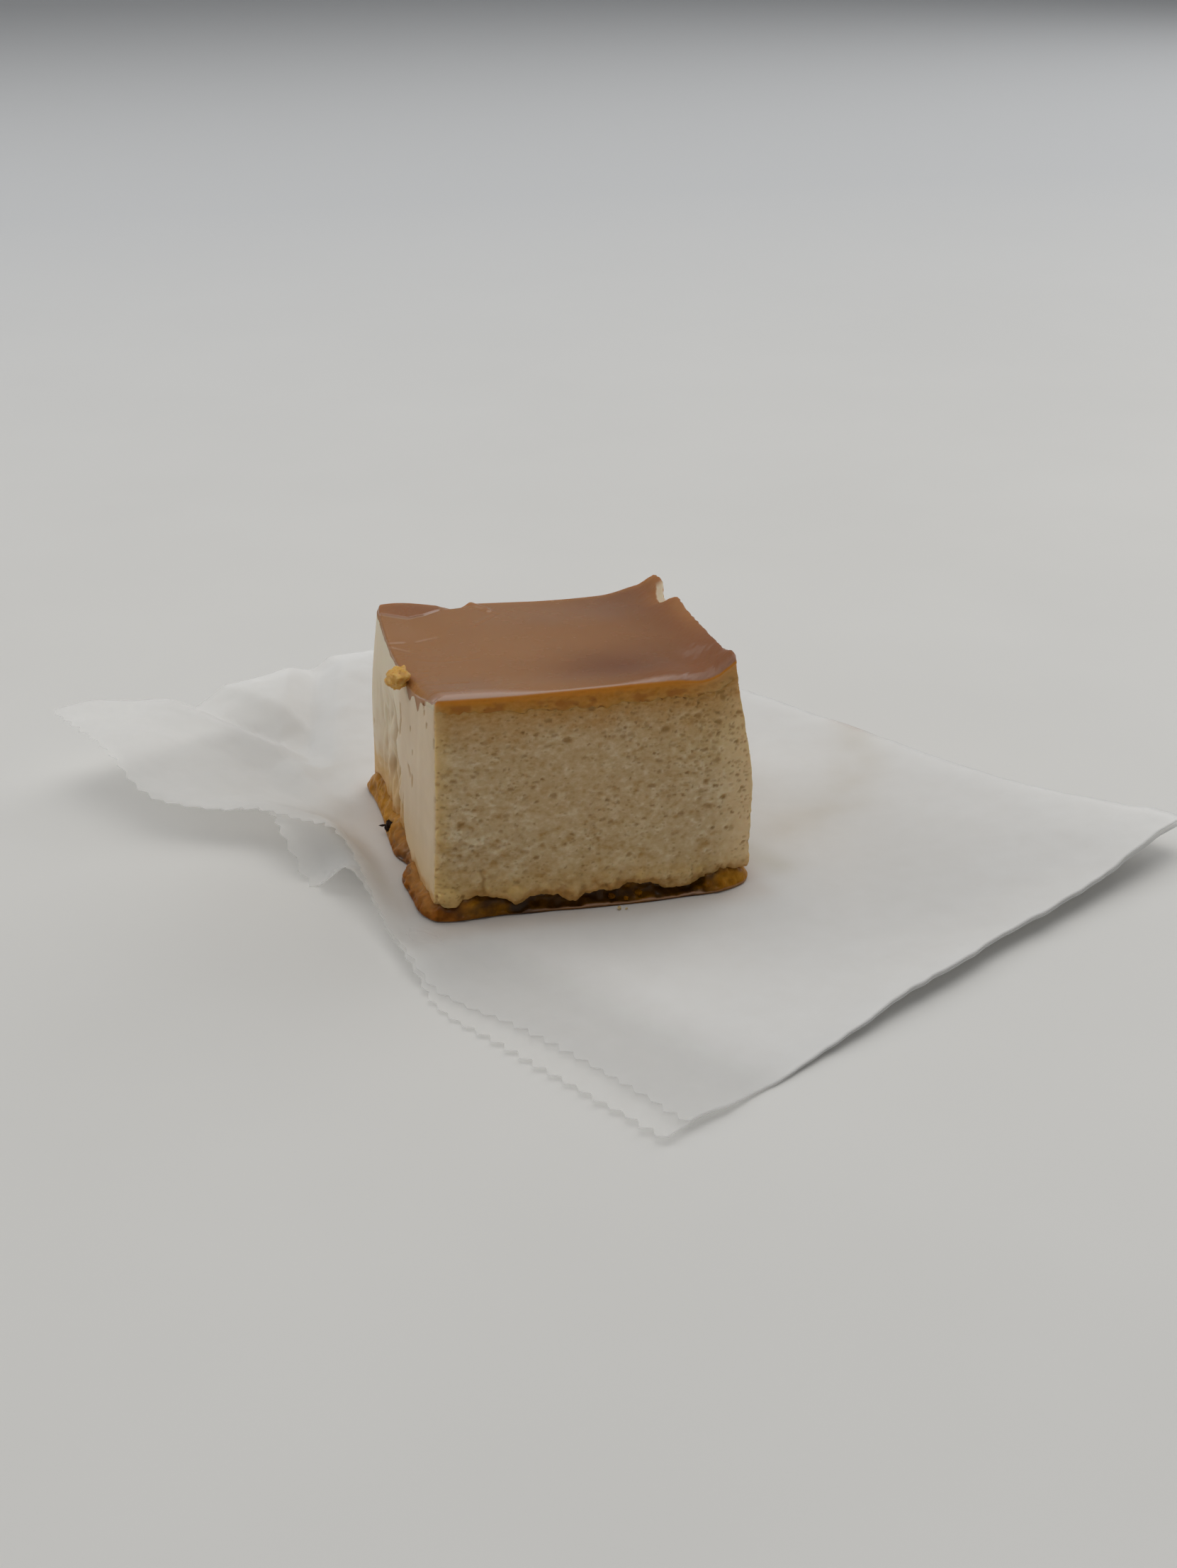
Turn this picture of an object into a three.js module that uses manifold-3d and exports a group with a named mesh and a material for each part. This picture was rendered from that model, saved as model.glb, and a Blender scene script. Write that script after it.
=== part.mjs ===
// A cut block of caramel pudding lying on its two-ply sheet of greaseproof deli paper.
// Millimetres, +Z up. The origin is on the table, under the middle of the block:
// +X runs to the right along the block's front face and +Y towards its back.

import * as THREE from 'three';
import * as BufferGeometryUtils from 'three/addons/utils/BufferGeometryUtils.js';
import Module from 'manifold-3d';

// ---- Driving dimensions ----

const GAP = 0.3;              // between pieces that lie on each other

const PLY_THICKNESS = 0.25;

const SHEET = {
  corner: [-6.5, -110],       // the front corner, in plan
  plainEdgeTurn: THREE.MathUtils.degToRad(28.4),    // the plain front edge from +X
  toothedEdgeTurn: THREE.MathUtils.degToRad(29.3),  // the saw-toothed edge from +Y
  width: 143.5,               // along the plain front edge
  length: 186,                // along the saw-toothed edge
  teeth: 52,
  toothDepth: 1.6,
};

const BLOCK = {
  footWidth: 62,
  footDepth: 62.4,
  topWidth: 58.1,
  topDepth: 52.4,
  topShift: 1.1,              // the top sits this far to the right of the foot
  height: 41.3,
  foot: 2 * PLY_THICKNESS + 2 * GAP,
};

const CARAMEL_LAYER = 3.3;    // the amber layer on the top
const BASE_LAYER = 2.3;       // the dark syrup layer underneath
const BASE_REACH = 2.4;       // how far the base stands out in front of the custard

const CRUMB = { centre: [-31.9, -7, 40.4], radii: [2.5, 2.9, 2.8] };

const COLOURS = { paper: 0xd6d3cc, custard: 0xcdb78c, caramel: 0xa5622f, syrup: 0x54300f };

// ---- Small shared sums ----

const { lerp, smoothstep, clamp } = THREE.MathUtils;

const bell = (x, middle, spread) => Math.exp(-(((x - middle) / spread) ** 2));

// Value at `at` of a chain of [place, value, value...] knots, eased between them.
function alongKnots(knots, at) {
  const last = knots.length - 1;
  let next = 1;
  while (next < last && knots[next][0] < at) next += 1;
  const [from, to] = [knots[next - 1], knots[next]];
  const share = smoothstep(at, from[0], to[0]);
  return from.slice(1).map((value, i) => lerp(value, to[i + 1], share));
}

// ---- Paper ----

// The saw-toothed edge of the upper ply: [place along the edge, how far the edge is
// drawn in across the sheet, height]. It lies flat near the corner, climbs into an
// arch beside the block, and ends in a raised crumpled tip.
const UPPER_EDGE = [
  [0, 1, 1.6], [12, 2, 1.2], [50, 2, 0.8], [64, 2.5, 1.8], [78, 6, 7.8], [92, 11.5, 10.6],
  [104, 15.5, 11.2], [118, 15.5, 9.6], [132, 12, 8.4], [142, 5, 8], [152, 1.5, 9.8],
  [163, 2, 13.6], [186, 3, 15.4],
];

// The lower ply sticks out past the upper one, and beside the block its edge drops
// from the arch as a tongue that touches the table.
const LOWER_EDGE = [
  [0, -4.2], [50, -3.8], [64, -2.2], [78, 3.5], [92, 10], [100, 12], [108, 11.5],
  [118, 12], [131, 16], [142, 9], [152, 5], [163, 5.5], [186, 6.5],
];
const TONGUE = { place: 109, spread: 7.5, reach: 25 };
const PLIES_PART = 0.86;      // lift of the lower ply as a share of the upper one's

// Height of the paper where nothing is laid on it, across (u) and along (v) the sheet.
function freeLift(u, v) {
  const [edge, edgeHeight] = alongKnots(UPPER_EDGE, v);
  const edgeReach = lerp(13, 34, smoothstep(v, 125, 160));
  const lifts = [
    edgeHeight * bell(Math.max(u - edge, 0), 0, edgeReach),
    lerp(9.5, 0.8, smoothstep(u, 70, 125)) * bell(v, SHEET.length, 27),
    6.8 * bell(Math.hypot(u - SHEET.width, v), 0, 34),
    3.4 * bell(v, 0, 11) * smoothstep(u, 10, 70),
    1.6 * bell(u, SHEET.width, 14),
  ];
  return Math.cbrt(lifts.reduce((sum, lift) => sum + lift ** 3, 0));
}

// 0 under the block and 1 well clear of it, so the paper is flat where it carries it.
function clearOfBlock(x, y) {
  const overX = Math.max(Math.abs(x + 0.5) - 33.6, 0);
  const overY = Math.max(Math.abs(y + 2.5) - 35.5, 0);
  return smoothstep(Math.hypot(overX, overY), 0.8, 12.5);
}

// A fold along a straight line in plan: positive for a ridge, negative for a valley.
function fold(x, y, [fromX, fromY], [toX, toY], width, height) {
  const [runX, runY] = [toX - fromX, toY - fromY];
  const run = Math.hypot(runX, runY);
  const along = ((x - fromX) * runX + (y - fromY) * runY) / run;
  const beyond = Math.max(-along, along - run, 0);
  const aside = Math.abs((x - fromX) * runY - (y - fromY) * runX) / run;
  return height * Math.max(1 - Math.hypot(aside, beyond) / width, 0);
}

function paperFolds(x, y) {
  return fold(x, y, [-69.5, 58], [-46, 42], 9, 2.4)
    + fold(x, y, [-68, 72], [-48, 56], 9, -4)
    + fold(x, y, [-34.5, 84], [-43, 45], 6, -3)
    + fold(x, y, [-45.5, 34], [-37, 22], 7, 2.2);
}

function sheetPlan(u, v) {
  const { corner, plainEdgeTurn, toothedEdgeTurn } = SHEET;
  return [
    corner[0] + u * Math.cos(plainEdgeTurn) - v * Math.sin(toothedEdgeTurn),
    corner[1] + u * Math.sin(plainEdgeTurn) + v * Math.cos(toothedEdgeTurn),
  ];
}

function upperLift(u, v) {
  const [x, y] = sheetPlan(u, v);
  return Math.max(freeLift(u, v) + paperFolds(x, y), 0) * clearOfBlock(x, y);
}

function lowerLift(u, v) {
  const droop = bell(v, TONGUE.place, TONGUE.spread) * (1 - smoothstep(u, 11, TONGUE.reach));
  return upperLift(u, v) * (1 - droop) * PLIES_PART;
}

// One ply: a grid whose first column ends in two teeth a row, thickened straight up.
function paperPly(edgeKnots, lift, base) {
  const rows = SHEET.teeth / 2;
  const columns = 15;
  const points = [];
  const triangles = [];

  const addPoint = (u, v) => {
    const [x, y] = sheetPlan(u, v);
    points.push([x, y, base + lift(u, v)]);
    return points.length - 1;
  };

  // Past the first column both plies share their columns, so they lie evenly apart.
  const across = (column, v) => {
    const [edge] = alongKnots(column === 0 ? edgeKnots : UPPER_EDGE, v);
    return lerp(edge, SHEET.width, (column / columns) ** 1.25);
  };

  const grid = [];
  for (let row = 0; row <= rows; row += 1) {
    const v = (SHEET.length * row) / rows;
    grid.push(Array.from({ length: columns + 1 }, (_, column) => addPoint(across(column, v), v)));
  }

  const pitch = SHEET.length / SHEET.teeth;
  for (let row = 0; row < rows; row += 1) {
    const v = (SHEET.length * row) / rows;
    const tip = (place) => addPoint(across(0, place) - SHEET.toothDepth, place);
    const firstTip = tip(v + 0.5 * pitch);
    const root = addPoint(across(0, v + pitch), v + pitch);
    const secondTip = tip(v + 1.5 * pitch);
    const [near, far] = [grid[row], grid[row + 1]];
    triangles.push([near[1], firstTip, near[0]], [near[1], root, firstTip], [near[1], far[1], root]);
    triangles.push([far[1], secondTip, root], [far[1], far[0], secondTip]);
    for (let column = 1; column < columns; column += 1) {
      triangles.push([near[column], near[column + 1], far[column + 1]]);
      triangles.push([near[column], far[column + 1], far[column]]);
    }
  }
  return thicken(points, triangles, PLY_THICKNESS);
}

// Closes an open sheet of triangles into a solid of even vertical thickness.
function thicken(points, triangles, thickness) {
  const count = points.length;
  const positions = [
    ...points.flat(),
    ...points.flatMap(([x, y, z]) => [x, y, z + thickness]),
  ];
  const sides = new Set();
  for (const [a, b, c] of triangles) {
    for (const [from, to] of [[a, b], [b, c], [c, a]]) {
      if (!sides.delete(`${to} ${from}`)) sides.add(`${from} ${to}`);
    }
  }
  const index = triangles.flatMap(([a, b, c]) => [a, c, b, a + count, b + count, c + count]);
  for (const side of sides) {
    const [from, to] = side.split(' ').map(Number);
    index.push(from, to, to + count, from, to + count, from + count);
  }
  const geometry = new THREE.BufferGeometry();
  geometry.setAttribute('position', new THREE.Float32BufferAttribute(positions, 3));
  geometry.setIndex(index);
  return geometry;
}

// ---- Pudding ----

// The block's plain sides at a height above its foot, before bulges and tears.
function sideLines(height) {
  const share = height / BLOCK.height;
  const halfWidth = lerp(BLOCK.footWidth, BLOCK.topWidth, share) / 2;
  const halfDepth = lerp(BLOCK.footDepth, BLOCK.topDepth, share) / 2;
  const middle = lerp(0, BLOCK.topShift, share);
  return { left: middle - halfWidth, right: middle + halfWidth, front: -halfDepth, back: halfDepth };
}

// Top of the caramel: dished, sagging to the left, and curled up at the right corners.
function topSurface(x, y) {
  const frontLeft = 1.5 * smoothstep(-x, 12, 28) * smoothstep(-y, 8, 26);
  const backLeft = 2.4 * smoothstep(-x, 8, 27) * smoothstep(y, 4, 26);
  const frontRight = 2.8 * clamp((x - 21) / 8.5, 0, 1) ** 2 * smoothstep(-y, 10, 24);
  const backRight = 1.7 * smoothstep(x, 26, 31) * smoothstep(y, 2, 18);
  const rims = 0.3 * smoothstep(-y, 16, 26) + 1.6 * smoothstep(x, 18, 30);
  const backDip = 1.4 * smoothstep(y, 5, 26) * bell(x, 12, 20);
  const leftSag = 0.4 * smoothstep(-x, 10, 30) * bell(y, -2, 16);
  const corners = frontLeft + backLeft + frontRight + backRight;
  return BLOCK.foot + 39.8 + corners + rims - backDip - leftSag;
}

const caramelThickness = (x) => CARAMEL_LAYER + 0.6 * smoothstep(x, -24, 0);

const custardTop = (x, y) => topSurface(x, y) - caramelThickness(x) - GAP;

// Top of the syrup layer: lumpy where the custard has sunk into it.
const baseTop = (x, y) => BLOCK.foot + BASE_LAYER
  + 0.35 * Math.sin(x / 4.1 + 1.2) * Math.cos(y / 5.3) + 0.25 * Math.sin((x + y) / 7);

const custardBottom = (x, y) => baseTop(x, y) + GAP;

// The torn line down the left side: behind it the face is set back.
function tornSetback(y, height) {
  const tearLine = 1.5 + 1.8 * Math.sin(height / 5.5) - 4.5 * (1 - smoothstep(height, 3, 15));
  const behindTear = smoothstep(y, tearLine - 0.5, tearLine + 1.5) * (1 - smoothstep(y, 12, 27));
  return 1.2 * behindTear * (1 - smoothstep(height, 30, 37));
}

// Plan place of a point of the block; across and along run from -1 to 1.
function custardPlan(across, along, height) {
  const lines = sideLines(height);
  const share = clamp(height / BLOCK.height, 0, 1);
  const y0 = lerp(lines.front, lines.back, (along + 1) / 2);
  const bow = lerp(3.3, 1.3, share) * (1 - (across - 0.25) ** 2 / 1.5625);
  const bulge = 2.3 * bell(height, 17, 15);
  const slump = 2.1 * share * Math.max(1 - ((y0 + 2) / 27) ** 2, 0);
  const backFullness = 1.1 * bell(height, 22, 14) * smoothstep(y0, 8, 26);
  const left = lines.left - slump - backFullness + tornSetback(y0, height);
  const right = lines.right + bulge;
  const inBreak = smoothstep(y0, 10.5, 13) * (1 - smoothstep(y0, 15, 25));
  const brokenCorner = 2.4 * inBreak * smoothstep(height, 36, 38.5);
  const x = lerp(left, right - brokenCorner, (across + 1) / 2);
  const y = y0 - bow * ((1 - along) / 2) ** 2;
  const rounding = 0.018 * (across * along) ** 12;
  return [x * (1 - rounding), y * (1 - rounding)];
}

// The base follows the custard, swelling out of its foot and rounding at the corners.
function basePlan(across, along, level) {
  const [x, y] = custardPlan(across, along, 2);
  const swell = Math.sin(Math.PI * clamp(level, 0.12, 0.88));
  const reach = BASE_REACH * (0.25 + 0.75 * swell);
  const pushLeft = reach * Math.max(-across, 0) ** 3 * (1 + 0.3 * Math.sin(y / 3.2));
  const pushFront = reach * Math.max(-along, 0) ** 3;
  const rounding = 0.055 * (across * along) ** 10;
  return [(x - pushLeft) * (1 - rounding), (y - pushFront) * (1 - rounding)];
}

// A box of cells whose vertices are carried to plan(across, along, level) in plan and
// between floor(x, y) and roof(x, y) in height.
function layer([cellsX, cellsY, cellsZ], plan, floor, roof) {
  const box = new THREE.BoxGeometry(2, 2, 1, cellsX, cellsY, cellsZ);
  box.deleteAttribute('normal');
  box.deleteAttribute('uv');
  const geometry = BufferGeometryUtils.mergeVertices(box, 1e-5);
  const position = geometry.getAttribute('position');
  for (let i = 0; i < position.count; i += 1) {
    const level = position.getZ(i) + 0.5;
    const [x, y] = plan(position.getX(i), position.getY(i), level);
    position.setXYZ(i, x, y, lerp(floor(x, y), roof(x, y), level));
  }
  return geometry;
}

function custardGeometry() {
  const plan = (across, along, level) => {
    const height = lerp(BASE_LAYER, BLOCK.height - CARAMEL_LAYER, level);
    return custardPlan(across, along, height);
  };
  return layer([16, 14, 9], plan, custardBottom, custardTop);
}

function caramelTopGeometry() {
  const plan = (across, along, level) => {
    const height = lerp(BLOCK.height - CARAMEL_LAYER, BLOCK.height, level);
    return custardPlan(across, along, height);
  };
  const floor = (x, y) => topSurface(x, y) - caramelThickness(x);
  return layer([18, 16, 2], plan, floor, topSurface);
}

function caramelBaseGeometry() {
  return layer([18, 16, 4], basePlan, () => BLOCK.foot, baseTop);
}

// ---- Crumb stuck on the top left edge, joined to the caramel ----

const wasm = await Module();
wasm.setup();

function toManifold(geometry) {
  const position = geometry.getAttribute('position');
  return new wasm.Manifold(new wasm.Mesh({
    numProp: 3,
    vertProperties: new Float32Array(position.array),
    triVerts: new Uint32Array(geometry.getIndex().array),
  }));
}

function fromManifold(solid) {
  const { vertProperties, triVerts } = solid.getMesh();
  const geometry = new THREE.BufferGeometry();
  geometry.setAttribute('position', new THREE.Float32BufferAttribute(vertProperties, 3));
  geometry.setIndex(Array.from(triVerts));
  return geometry;
}

function crumbGeometry() {
  const ball = new THREE.IcosahedronGeometry(1, 2);
  ball.deleteAttribute('normal');
  ball.deleteAttribute('uv');
  const geometry = BufferGeometryUtils.mergeVertices(ball, 1e-5);
  const position = geometry.getAttribute('position');
  for (let i = 0; i < position.count; i += 1) {
    const unit = [position.getX(i), position.getY(i), position.getZ(i)];
    const lump = 1 + 0.13 * Math.sin(4 * unit[0] + 1) * Math.cos(3.5 * unit[1]) * Math.sin(4 * unit[2]);
    const place = unit.map((value, k) => CRUMB.centre[k] + value * CRUMB.radii[k] * lump);
    position.setXYZ(i, ...place);
  }
  return geometry;
}

const caramelTop = fromManifold(
  toManifold(caramelTopGeometry()).add(toManifold(crumbGeometry())),
);

// ---- Assembly ----

const group = new THREE.Group();

function addPiece(name, geometry, color, roughness) {
  const material = new THREE.MeshStandardMaterial({ color, roughness, metalness: 0 });
  const mesh = new THREE.Mesh(geometry, material);
  mesh.name = name;
  group.add(mesh);
}

const upperBase = PLY_THICKNESS + GAP;
addPiece('paper_lower_ply', paperPly(LOWER_EDGE, lowerLift, 0), COLOURS.paper, 0.6);
addPiece('paper_upper_ply', paperPly(UPPER_EDGE, upperLift, upperBase), COLOURS.paper, 0.6);
addPiece('caramel_base', caramelBaseGeometry(), COLOURS.syrup, 0.2);
addPiece('custard', custardGeometry(), COLOURS.custard, 0.5);
addPiece('caramel_top', caramelTop, COLOURS.caramel, 0.25);

export default group;
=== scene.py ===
from math import cos, pi, radians, sin

import bpy
import numpy as np
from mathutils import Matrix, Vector


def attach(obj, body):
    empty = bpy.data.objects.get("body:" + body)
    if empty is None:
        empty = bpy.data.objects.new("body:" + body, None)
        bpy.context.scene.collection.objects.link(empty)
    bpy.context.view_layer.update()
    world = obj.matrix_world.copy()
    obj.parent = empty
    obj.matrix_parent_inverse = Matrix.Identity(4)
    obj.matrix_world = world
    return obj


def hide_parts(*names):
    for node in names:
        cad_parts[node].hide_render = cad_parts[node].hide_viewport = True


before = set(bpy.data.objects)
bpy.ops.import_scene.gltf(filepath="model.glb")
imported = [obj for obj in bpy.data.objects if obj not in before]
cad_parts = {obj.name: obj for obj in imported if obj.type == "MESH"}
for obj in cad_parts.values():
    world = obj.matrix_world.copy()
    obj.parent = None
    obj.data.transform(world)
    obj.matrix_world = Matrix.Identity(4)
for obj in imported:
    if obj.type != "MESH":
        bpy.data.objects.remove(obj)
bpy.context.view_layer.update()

# ---- Viewpoint and light ----
# The block is looked at from in front, a little to its left and 25 degrees above the
# table, under a broad soft daylight that comes from above and behind it.

MM = 0.001

lens = bpy.data.cameras.new("viewpoint")
lens.sensor_width = 36
lens.lens = 47.197
lens.clip_start = 0.01
viewpoint = bpy.data.objects.new("viewpoint", lens)
heading, dip = radians(15.745984), radians(24.70868)
sight_line = Vector((sin(heading) * cos(dip), cos(heading) * cos(dip), -sin(dip)))
viewpoint.location = Vector((-95.0222, -366.2773, 185.254)) * MM
viewpoint.rotation_euler = sight_line.to_track_quat("-Z", "Y").to_euler()
bpy.context.scene.collection.objects.link(viewpoint)
bpy.context.scene.camera = viewpoint
bpy.context.scene.view_settings.view_transform = "Standard"


def hang_light(name, place, aim, size, power, colour):
    """A square soft box of a size in metres, hung at place and turned to face aim."""
    light = bpy.data.lights.new(name, "AREA")
    light.shape = "SQUARE"
    light.size = size
    light.energy = power
    light.color = colour
    holder = bpy.data.objects.new(name, light)
    holder.location = place
    turn = Vector(aim) - Vector(place)
    holder.rotation_euler = turn.to_track_quat("-Z", "Y").to_euler()
    bpy.context.scene.collection.objects.link(holder)


hang_light("ceiling", (0.15, 0.5, 1.7), (0.05, 0.2, 0), 1.8, 15.0, (1.0, 0.985, 0.955))
hang_light("left_window", (-1.3, 0.9, 1.0), (0, 0, 0), 1.0, 6.8, (0.98, 0.99, 1.0))
hang_light("right_window", (1.5, 1.0, 1.0), (0, 0, 0), 1.2, 8.5, (0.98, 0.99, 1.0))

room = bpy.data.worlds.new("room")
room.use_nodes = True
room_light = room.node_tree.nodes["Background"]
room_light.inputs["Color"].default_value = (0.93, 0.96, 1.0, 1)
room_light.inputs["Strength"].default_value = 0.2
bpy.context.scene.world = room

# ---- Table ----
# A plain white table top that sweeps up far behind the object and isn't part of it. Its colour
# is painted darker towards the back, as shade where the light falls off. The helpers for meshes
# and materials are here too, as this is the first section to use them.


def put_mesh(name, points, faces, finish, layers=()):
    """A smooth-shaded object from points in millimetres, a list of arrays of faces, its
    material, and layers of one number a point that the material reads by name."""
    mesh = bpy.data.meshes.new(name)
    corners = [face for group in faces for face in np.asarray(group).tolist()]
    mesh.from_pydata((np.asarray(points) * MM).tolist(), [], corners)
    mesh.shade_smooth()
    for layer_name, values in dict(layers).items():
        layer = mesh.attributes.new(layer_name, "FLOAT", "POINT")
        layer.data.foreach_set("value", np.asarray(values, np.float32).ravel())
    mesh.materials.append(finish)
    made = bpy.data.objects.new(name, mesh)
    bpy.context.scene.collection.objects.link(made)
    return made


def new_finish(name, colour, roughness, **sockets):
    """A material, with every value that is the same all over it set on the shader's own
    socket."""
    finish = bpy.data.materials.new(name)
    finish.use_nodes = True
    shader = finish.node_tree.nodes["Principled BSDF"]
    sockets.update(Base_Color=(*colour, 1), Roughness=roughness)
    for socket, value in sockets.items():
        shader.inputs[socket.replace("_", " ")].default_value = value
    return finish


def add_node(tree, kind, inputs, **settings):
    """A node with its settings, and each input linked to a socket or set to a value."""
    made = tree.nodes.new(kind)
    for setting, value in settings.items():
        setattr(made, setting, value)
    for key, value in inputs.items():
        if isinstance(value, bpy.types.NodeSocket):
            tree.links.new(value, made.inputs[key])
        else:
            made.inputs[key].default_value = value
    return made


def placed(finish, squash=(1, 1, 1), offset=(0, 0, 0)):
    """The place on the object, squashed and moved."""
    tree = finish.node_tree
    place = add_node(tree, "ShaderNodeTexCoord", {}).outputs["Object"]
    inputs = {"Vector": place, "Scale": squash, "Location": offset}
    return add_node(tree, "ShaderNodeMapping", inputs).outputs[0]


def mottle(finish, size, detail, squash=(1, 1, 1), offset=(0, 0, 0)):
    """Cloudy noise from 0 to 1 with clouds of a size in millimetres."""
    place = placed(finish, squash, offset)
    inputs = {"Vector": place, "Scale": 1 / (size * MM), "Detail": detail, "Roughness": 0.6}
    return add_node(finish.node_tree, "ShaderNodeTexNoise", inputs).outputs[0]


def painted(finish, layer):
    """The number that a mesh carries for each of its points."""
    named = add_node(finish.node_tree, "ShaderNodeAttribute", {}, attribute_name=layer)
    return named.outputs["Fac"]


def spread(value, low, high, to_low=0.0, to_high=1.0):
    """Value stretched from low..high to to_low..to_high, and held there outside."""
    inputs = {0: value, 1: low, 2: high, 3: to_low, 4: to_high}
    return add_node(value.id_data, "ShaderNodeMapRange", inputs).outputs[0]


def blend_colour(share, first, second):
    """The first colour at share 0, turning into the second one at share 1."""
    colours = [c if isinstance(c, bpy.types.NodeSocket) else (*c, 1) for c in (first, second)]
    inputs = {0: share, 6: colours[0], 7: colours[1]}
    return add_node(share.id_data, "ShaderNodeMix", inputs, data_type="RGBA").outputs[2]


def plus(first, second):
    return add_node(first.id_data, "ShaderNodeMath", {0: first, 1: second}).outputs[0]


def times(first, second):
    inputs = {0: first, 1: second}
    return add_node(first.id_data, "ShaderNodeMath", inputs, operation="MULTIPLY").outputs[0]


def washed(finish, colour, washes):
    """A colour with washes laid over it in turn, each given as (layer, share, tint): it
    turns into the tint, up to that share, where the mesh's layer is 1."""
    for layer, share, tint in washes:
        colour = blend_colour(times(painted(finish, layer), share), colour, tint)
    return colour


def bumpy(bumps):
    """A normal from bumps given as (height, strength, distance in millimetres), the fine
    ones last."""
    normal = None
    for height, strength, distance in bumps:
        inputs = {"Height": height, "Strength": strength, "Distance": distance * MM}
        if normal:
            inputs["Normal"] = normal
        normal = add_node(height.id_data, "ShaderNodeBump", inputs).outputs[0]
    return normal


def feed(finish, **sockets):
    """Sockets of the shader, each linked to where its value comes from."""
    tree = finish.node_tree
    for socket, source in sockets.items():
        tree.links.new(source, tree.nodes["Principled BSDF"].inputs[socket.replace("_", " ")])


def grid_faces(rows, columns, wrap=False):
    """Four-cornered faces of a grid of points kept row by row. They face the side from
    which the columns run to the right and the rows run up; wrap joins the last column
    to the first."""
    row = np.arange(rows - 1)[:, None] * columns
    column = np.arange(columns if wrap else columns - 1)[None, :]
    after = (column + 1) % columns
    corners = [row + column, row + after, row + columns + after, row + columns + column]
    return np.stack([c.ravel() for c in np.broadcast_arrays(*corners)], axis=1)


# The table's profile: level to its end behind the block, then a quarter circle, then up.
TABLE_END, SWEEP_RADIUS = 2400, 1400
flat_run = np.linspace(-3000, TABLE_END, 55)
bend = np.linspace(0, pi / 2, 30)[1:]
bend_y, bend_z = TABLE_END + SWEEP_RADIUS * np.sin(bend), SWEEP_RADIUS * (1 - np.cos(bend))
profile_y = np.concatenate([flat_run, bend_y, [TABLE_END + SWEEP_RADIUS] * 2])
profile_z = np.concatenate([0 * flat_run, bend_z, [2000, 3200]])
table_x = np.linspace(-4000, 4000, 41)
table_points = np.stack(
    np.broadcast_arrays(table_x[None, :], profile_y[:, None], profile_z[:, None]), axis=2
)
table_top = new_finish("white_table", (0.80, 0.80, 0.79), 0.55, Specular_IOR_Level=0.3)
table_cloud = spread(mottle(table_top, 120, 3), 0.35, 0.65)
near_colour = blend_colour(table_cloud, (0.758, 0.746, 0.718), (0.778, 0.766, 0.738))
# Painted shade: the colour darkens with distance behind the block, where the light falls off.
table_place = {0: placed(table_top)}
depth = add_node(table_top.node_tree, "ShaderNodeSeparateXYZ", table_place).outputs["Y"]
feed(table_top, Base_Color=blend_colour(
    spread(depth, 0.15, 0.8), near_colour, (0.655, 0.66, 0.665)
))
table_faces = [grid_faces(len(profile_y), len(table_x))]
table = put_mesh("table", table_points.reshape(-1, 3), table_faces, table_top)

# ---- Greaseproof sheet ----
# A deli sheet of two plies of thin greaseproof paper, cut with saw teeth down its left
# edge. It lies flat under the block, arches up on the left of it and is crumpled behind.

SHEET_CORNER = (-6.5, -110.0)
SHEET_WIDTH, SHEET_LENGTH = 143.5, 186.0
PLAIN_TURN, TOOTHED_TURN = radians(28.4), radians(29.3)
TEETH, TOOTH_DEPTH, TOOTH_REACH = 52, 1.6, 3
PLY_THICKNESS = 0.14
OPEN_REST = 0.24  # how high a ply lies at most off the block, where nothing lifts it

# Along the toothed edge, in rows of (place, how far the edge is drawn in, height).
UPPER_EDGE = np.array([
    (0, 1, 1.6), (12, 2, 1.2), (42, 2.4, 0.8), (53, 0.8, 0.7), (63, 0.9, 1.5), (70, 2.6, 3.6),
    (78, 5.4, 7.4), (85, 8.2, 9.4), (92, 11.2, 10.6), (104, 15.5, 11.2), (118, 15.5, 9.6),
    (132, 12, 8.4), (142, 5, 8), (152, 1.5, 9.8), (163, 2, 13.6), (186, 3, 15.4),
])
# The same for the lower ply, without the height.
LOWER_EDGE = np.array([
    (0, -4.2), (40, -2.9), (57, -2.4), (63, -0.1), (70, 2.1), (78, 5.1), (85, 8), (92, 10.6),
    (100, 12), (108, 11.5), (118, 12), (131, 16), (142, 9), (152, 5), (163, 5.5), (186, 6.5),
])


def held(value):
    """Value kept between 0 and 1."""
    return np.clip(value, 0, 1)


def ramp(value, start, end):
    """An eased rise from 0 at start to 1 at end: 3 t squared less 2 t cubed."""
    share = held((value - start) / (end - start))
    return share * share * (3 - 2 * share)


def fall(value, start, end):
    """The opposite of a ramp: from 1 at start down to 0 at end."""
    return 1 - ramp(value, start, end)


def bell(value, middle, width):
    """1 at the middle, falling as e to the minus square of the distance in widths."""
    return np.exp(-(((value - middle) / width) ** 2))


def mix(first, second, share):
    """The first value at share 0, turning into the second one at share 1."""
    return first + (second - first) * share


def curve_through(places, values, at):
    """A smooth curve through values at places: in each stretch the cubic whose slopes at
    the two ends are those between the neighbouring values."""
    slopes = np.gradient(values, places)
    i = np.clip(np.searchsorted(places, at) - 1, 0, len(places) - 2)
    run = places[i + 1] - places[i]
    t = held((at - places[i]) / run)
    ease = t * t * (3 - 2 * t)
    level = mix(values[i], values[i + 1], ease)
    lean = t * (1 - t) * ((1 - t) * slopes[i] - t * slopes[i + 1]) * run
    return level + lean


def cell_number(cells, seed):
    """A repeatable number from 0 to 1 for each cell of whole-number coordinates."""
    mixed = np.full(np.broadcast_shapes(*[c.shape for c in cells]), seed * 668265263, np.int64)
    for cell, factor in zip(cells, (374761393, 1274126177, 2246822519)):
        mixed = (mixed + cell.astype(np.int64) * factor) & 0xFFFFFFFF
        mixed = ((mixed ^ (mixed >> 13)) * 1274126177) & 0xFFFFFFFF
    return ((mixed ^ (mixed >> 16)) & 0xFFFFFF) / 0xFFFFFF


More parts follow.
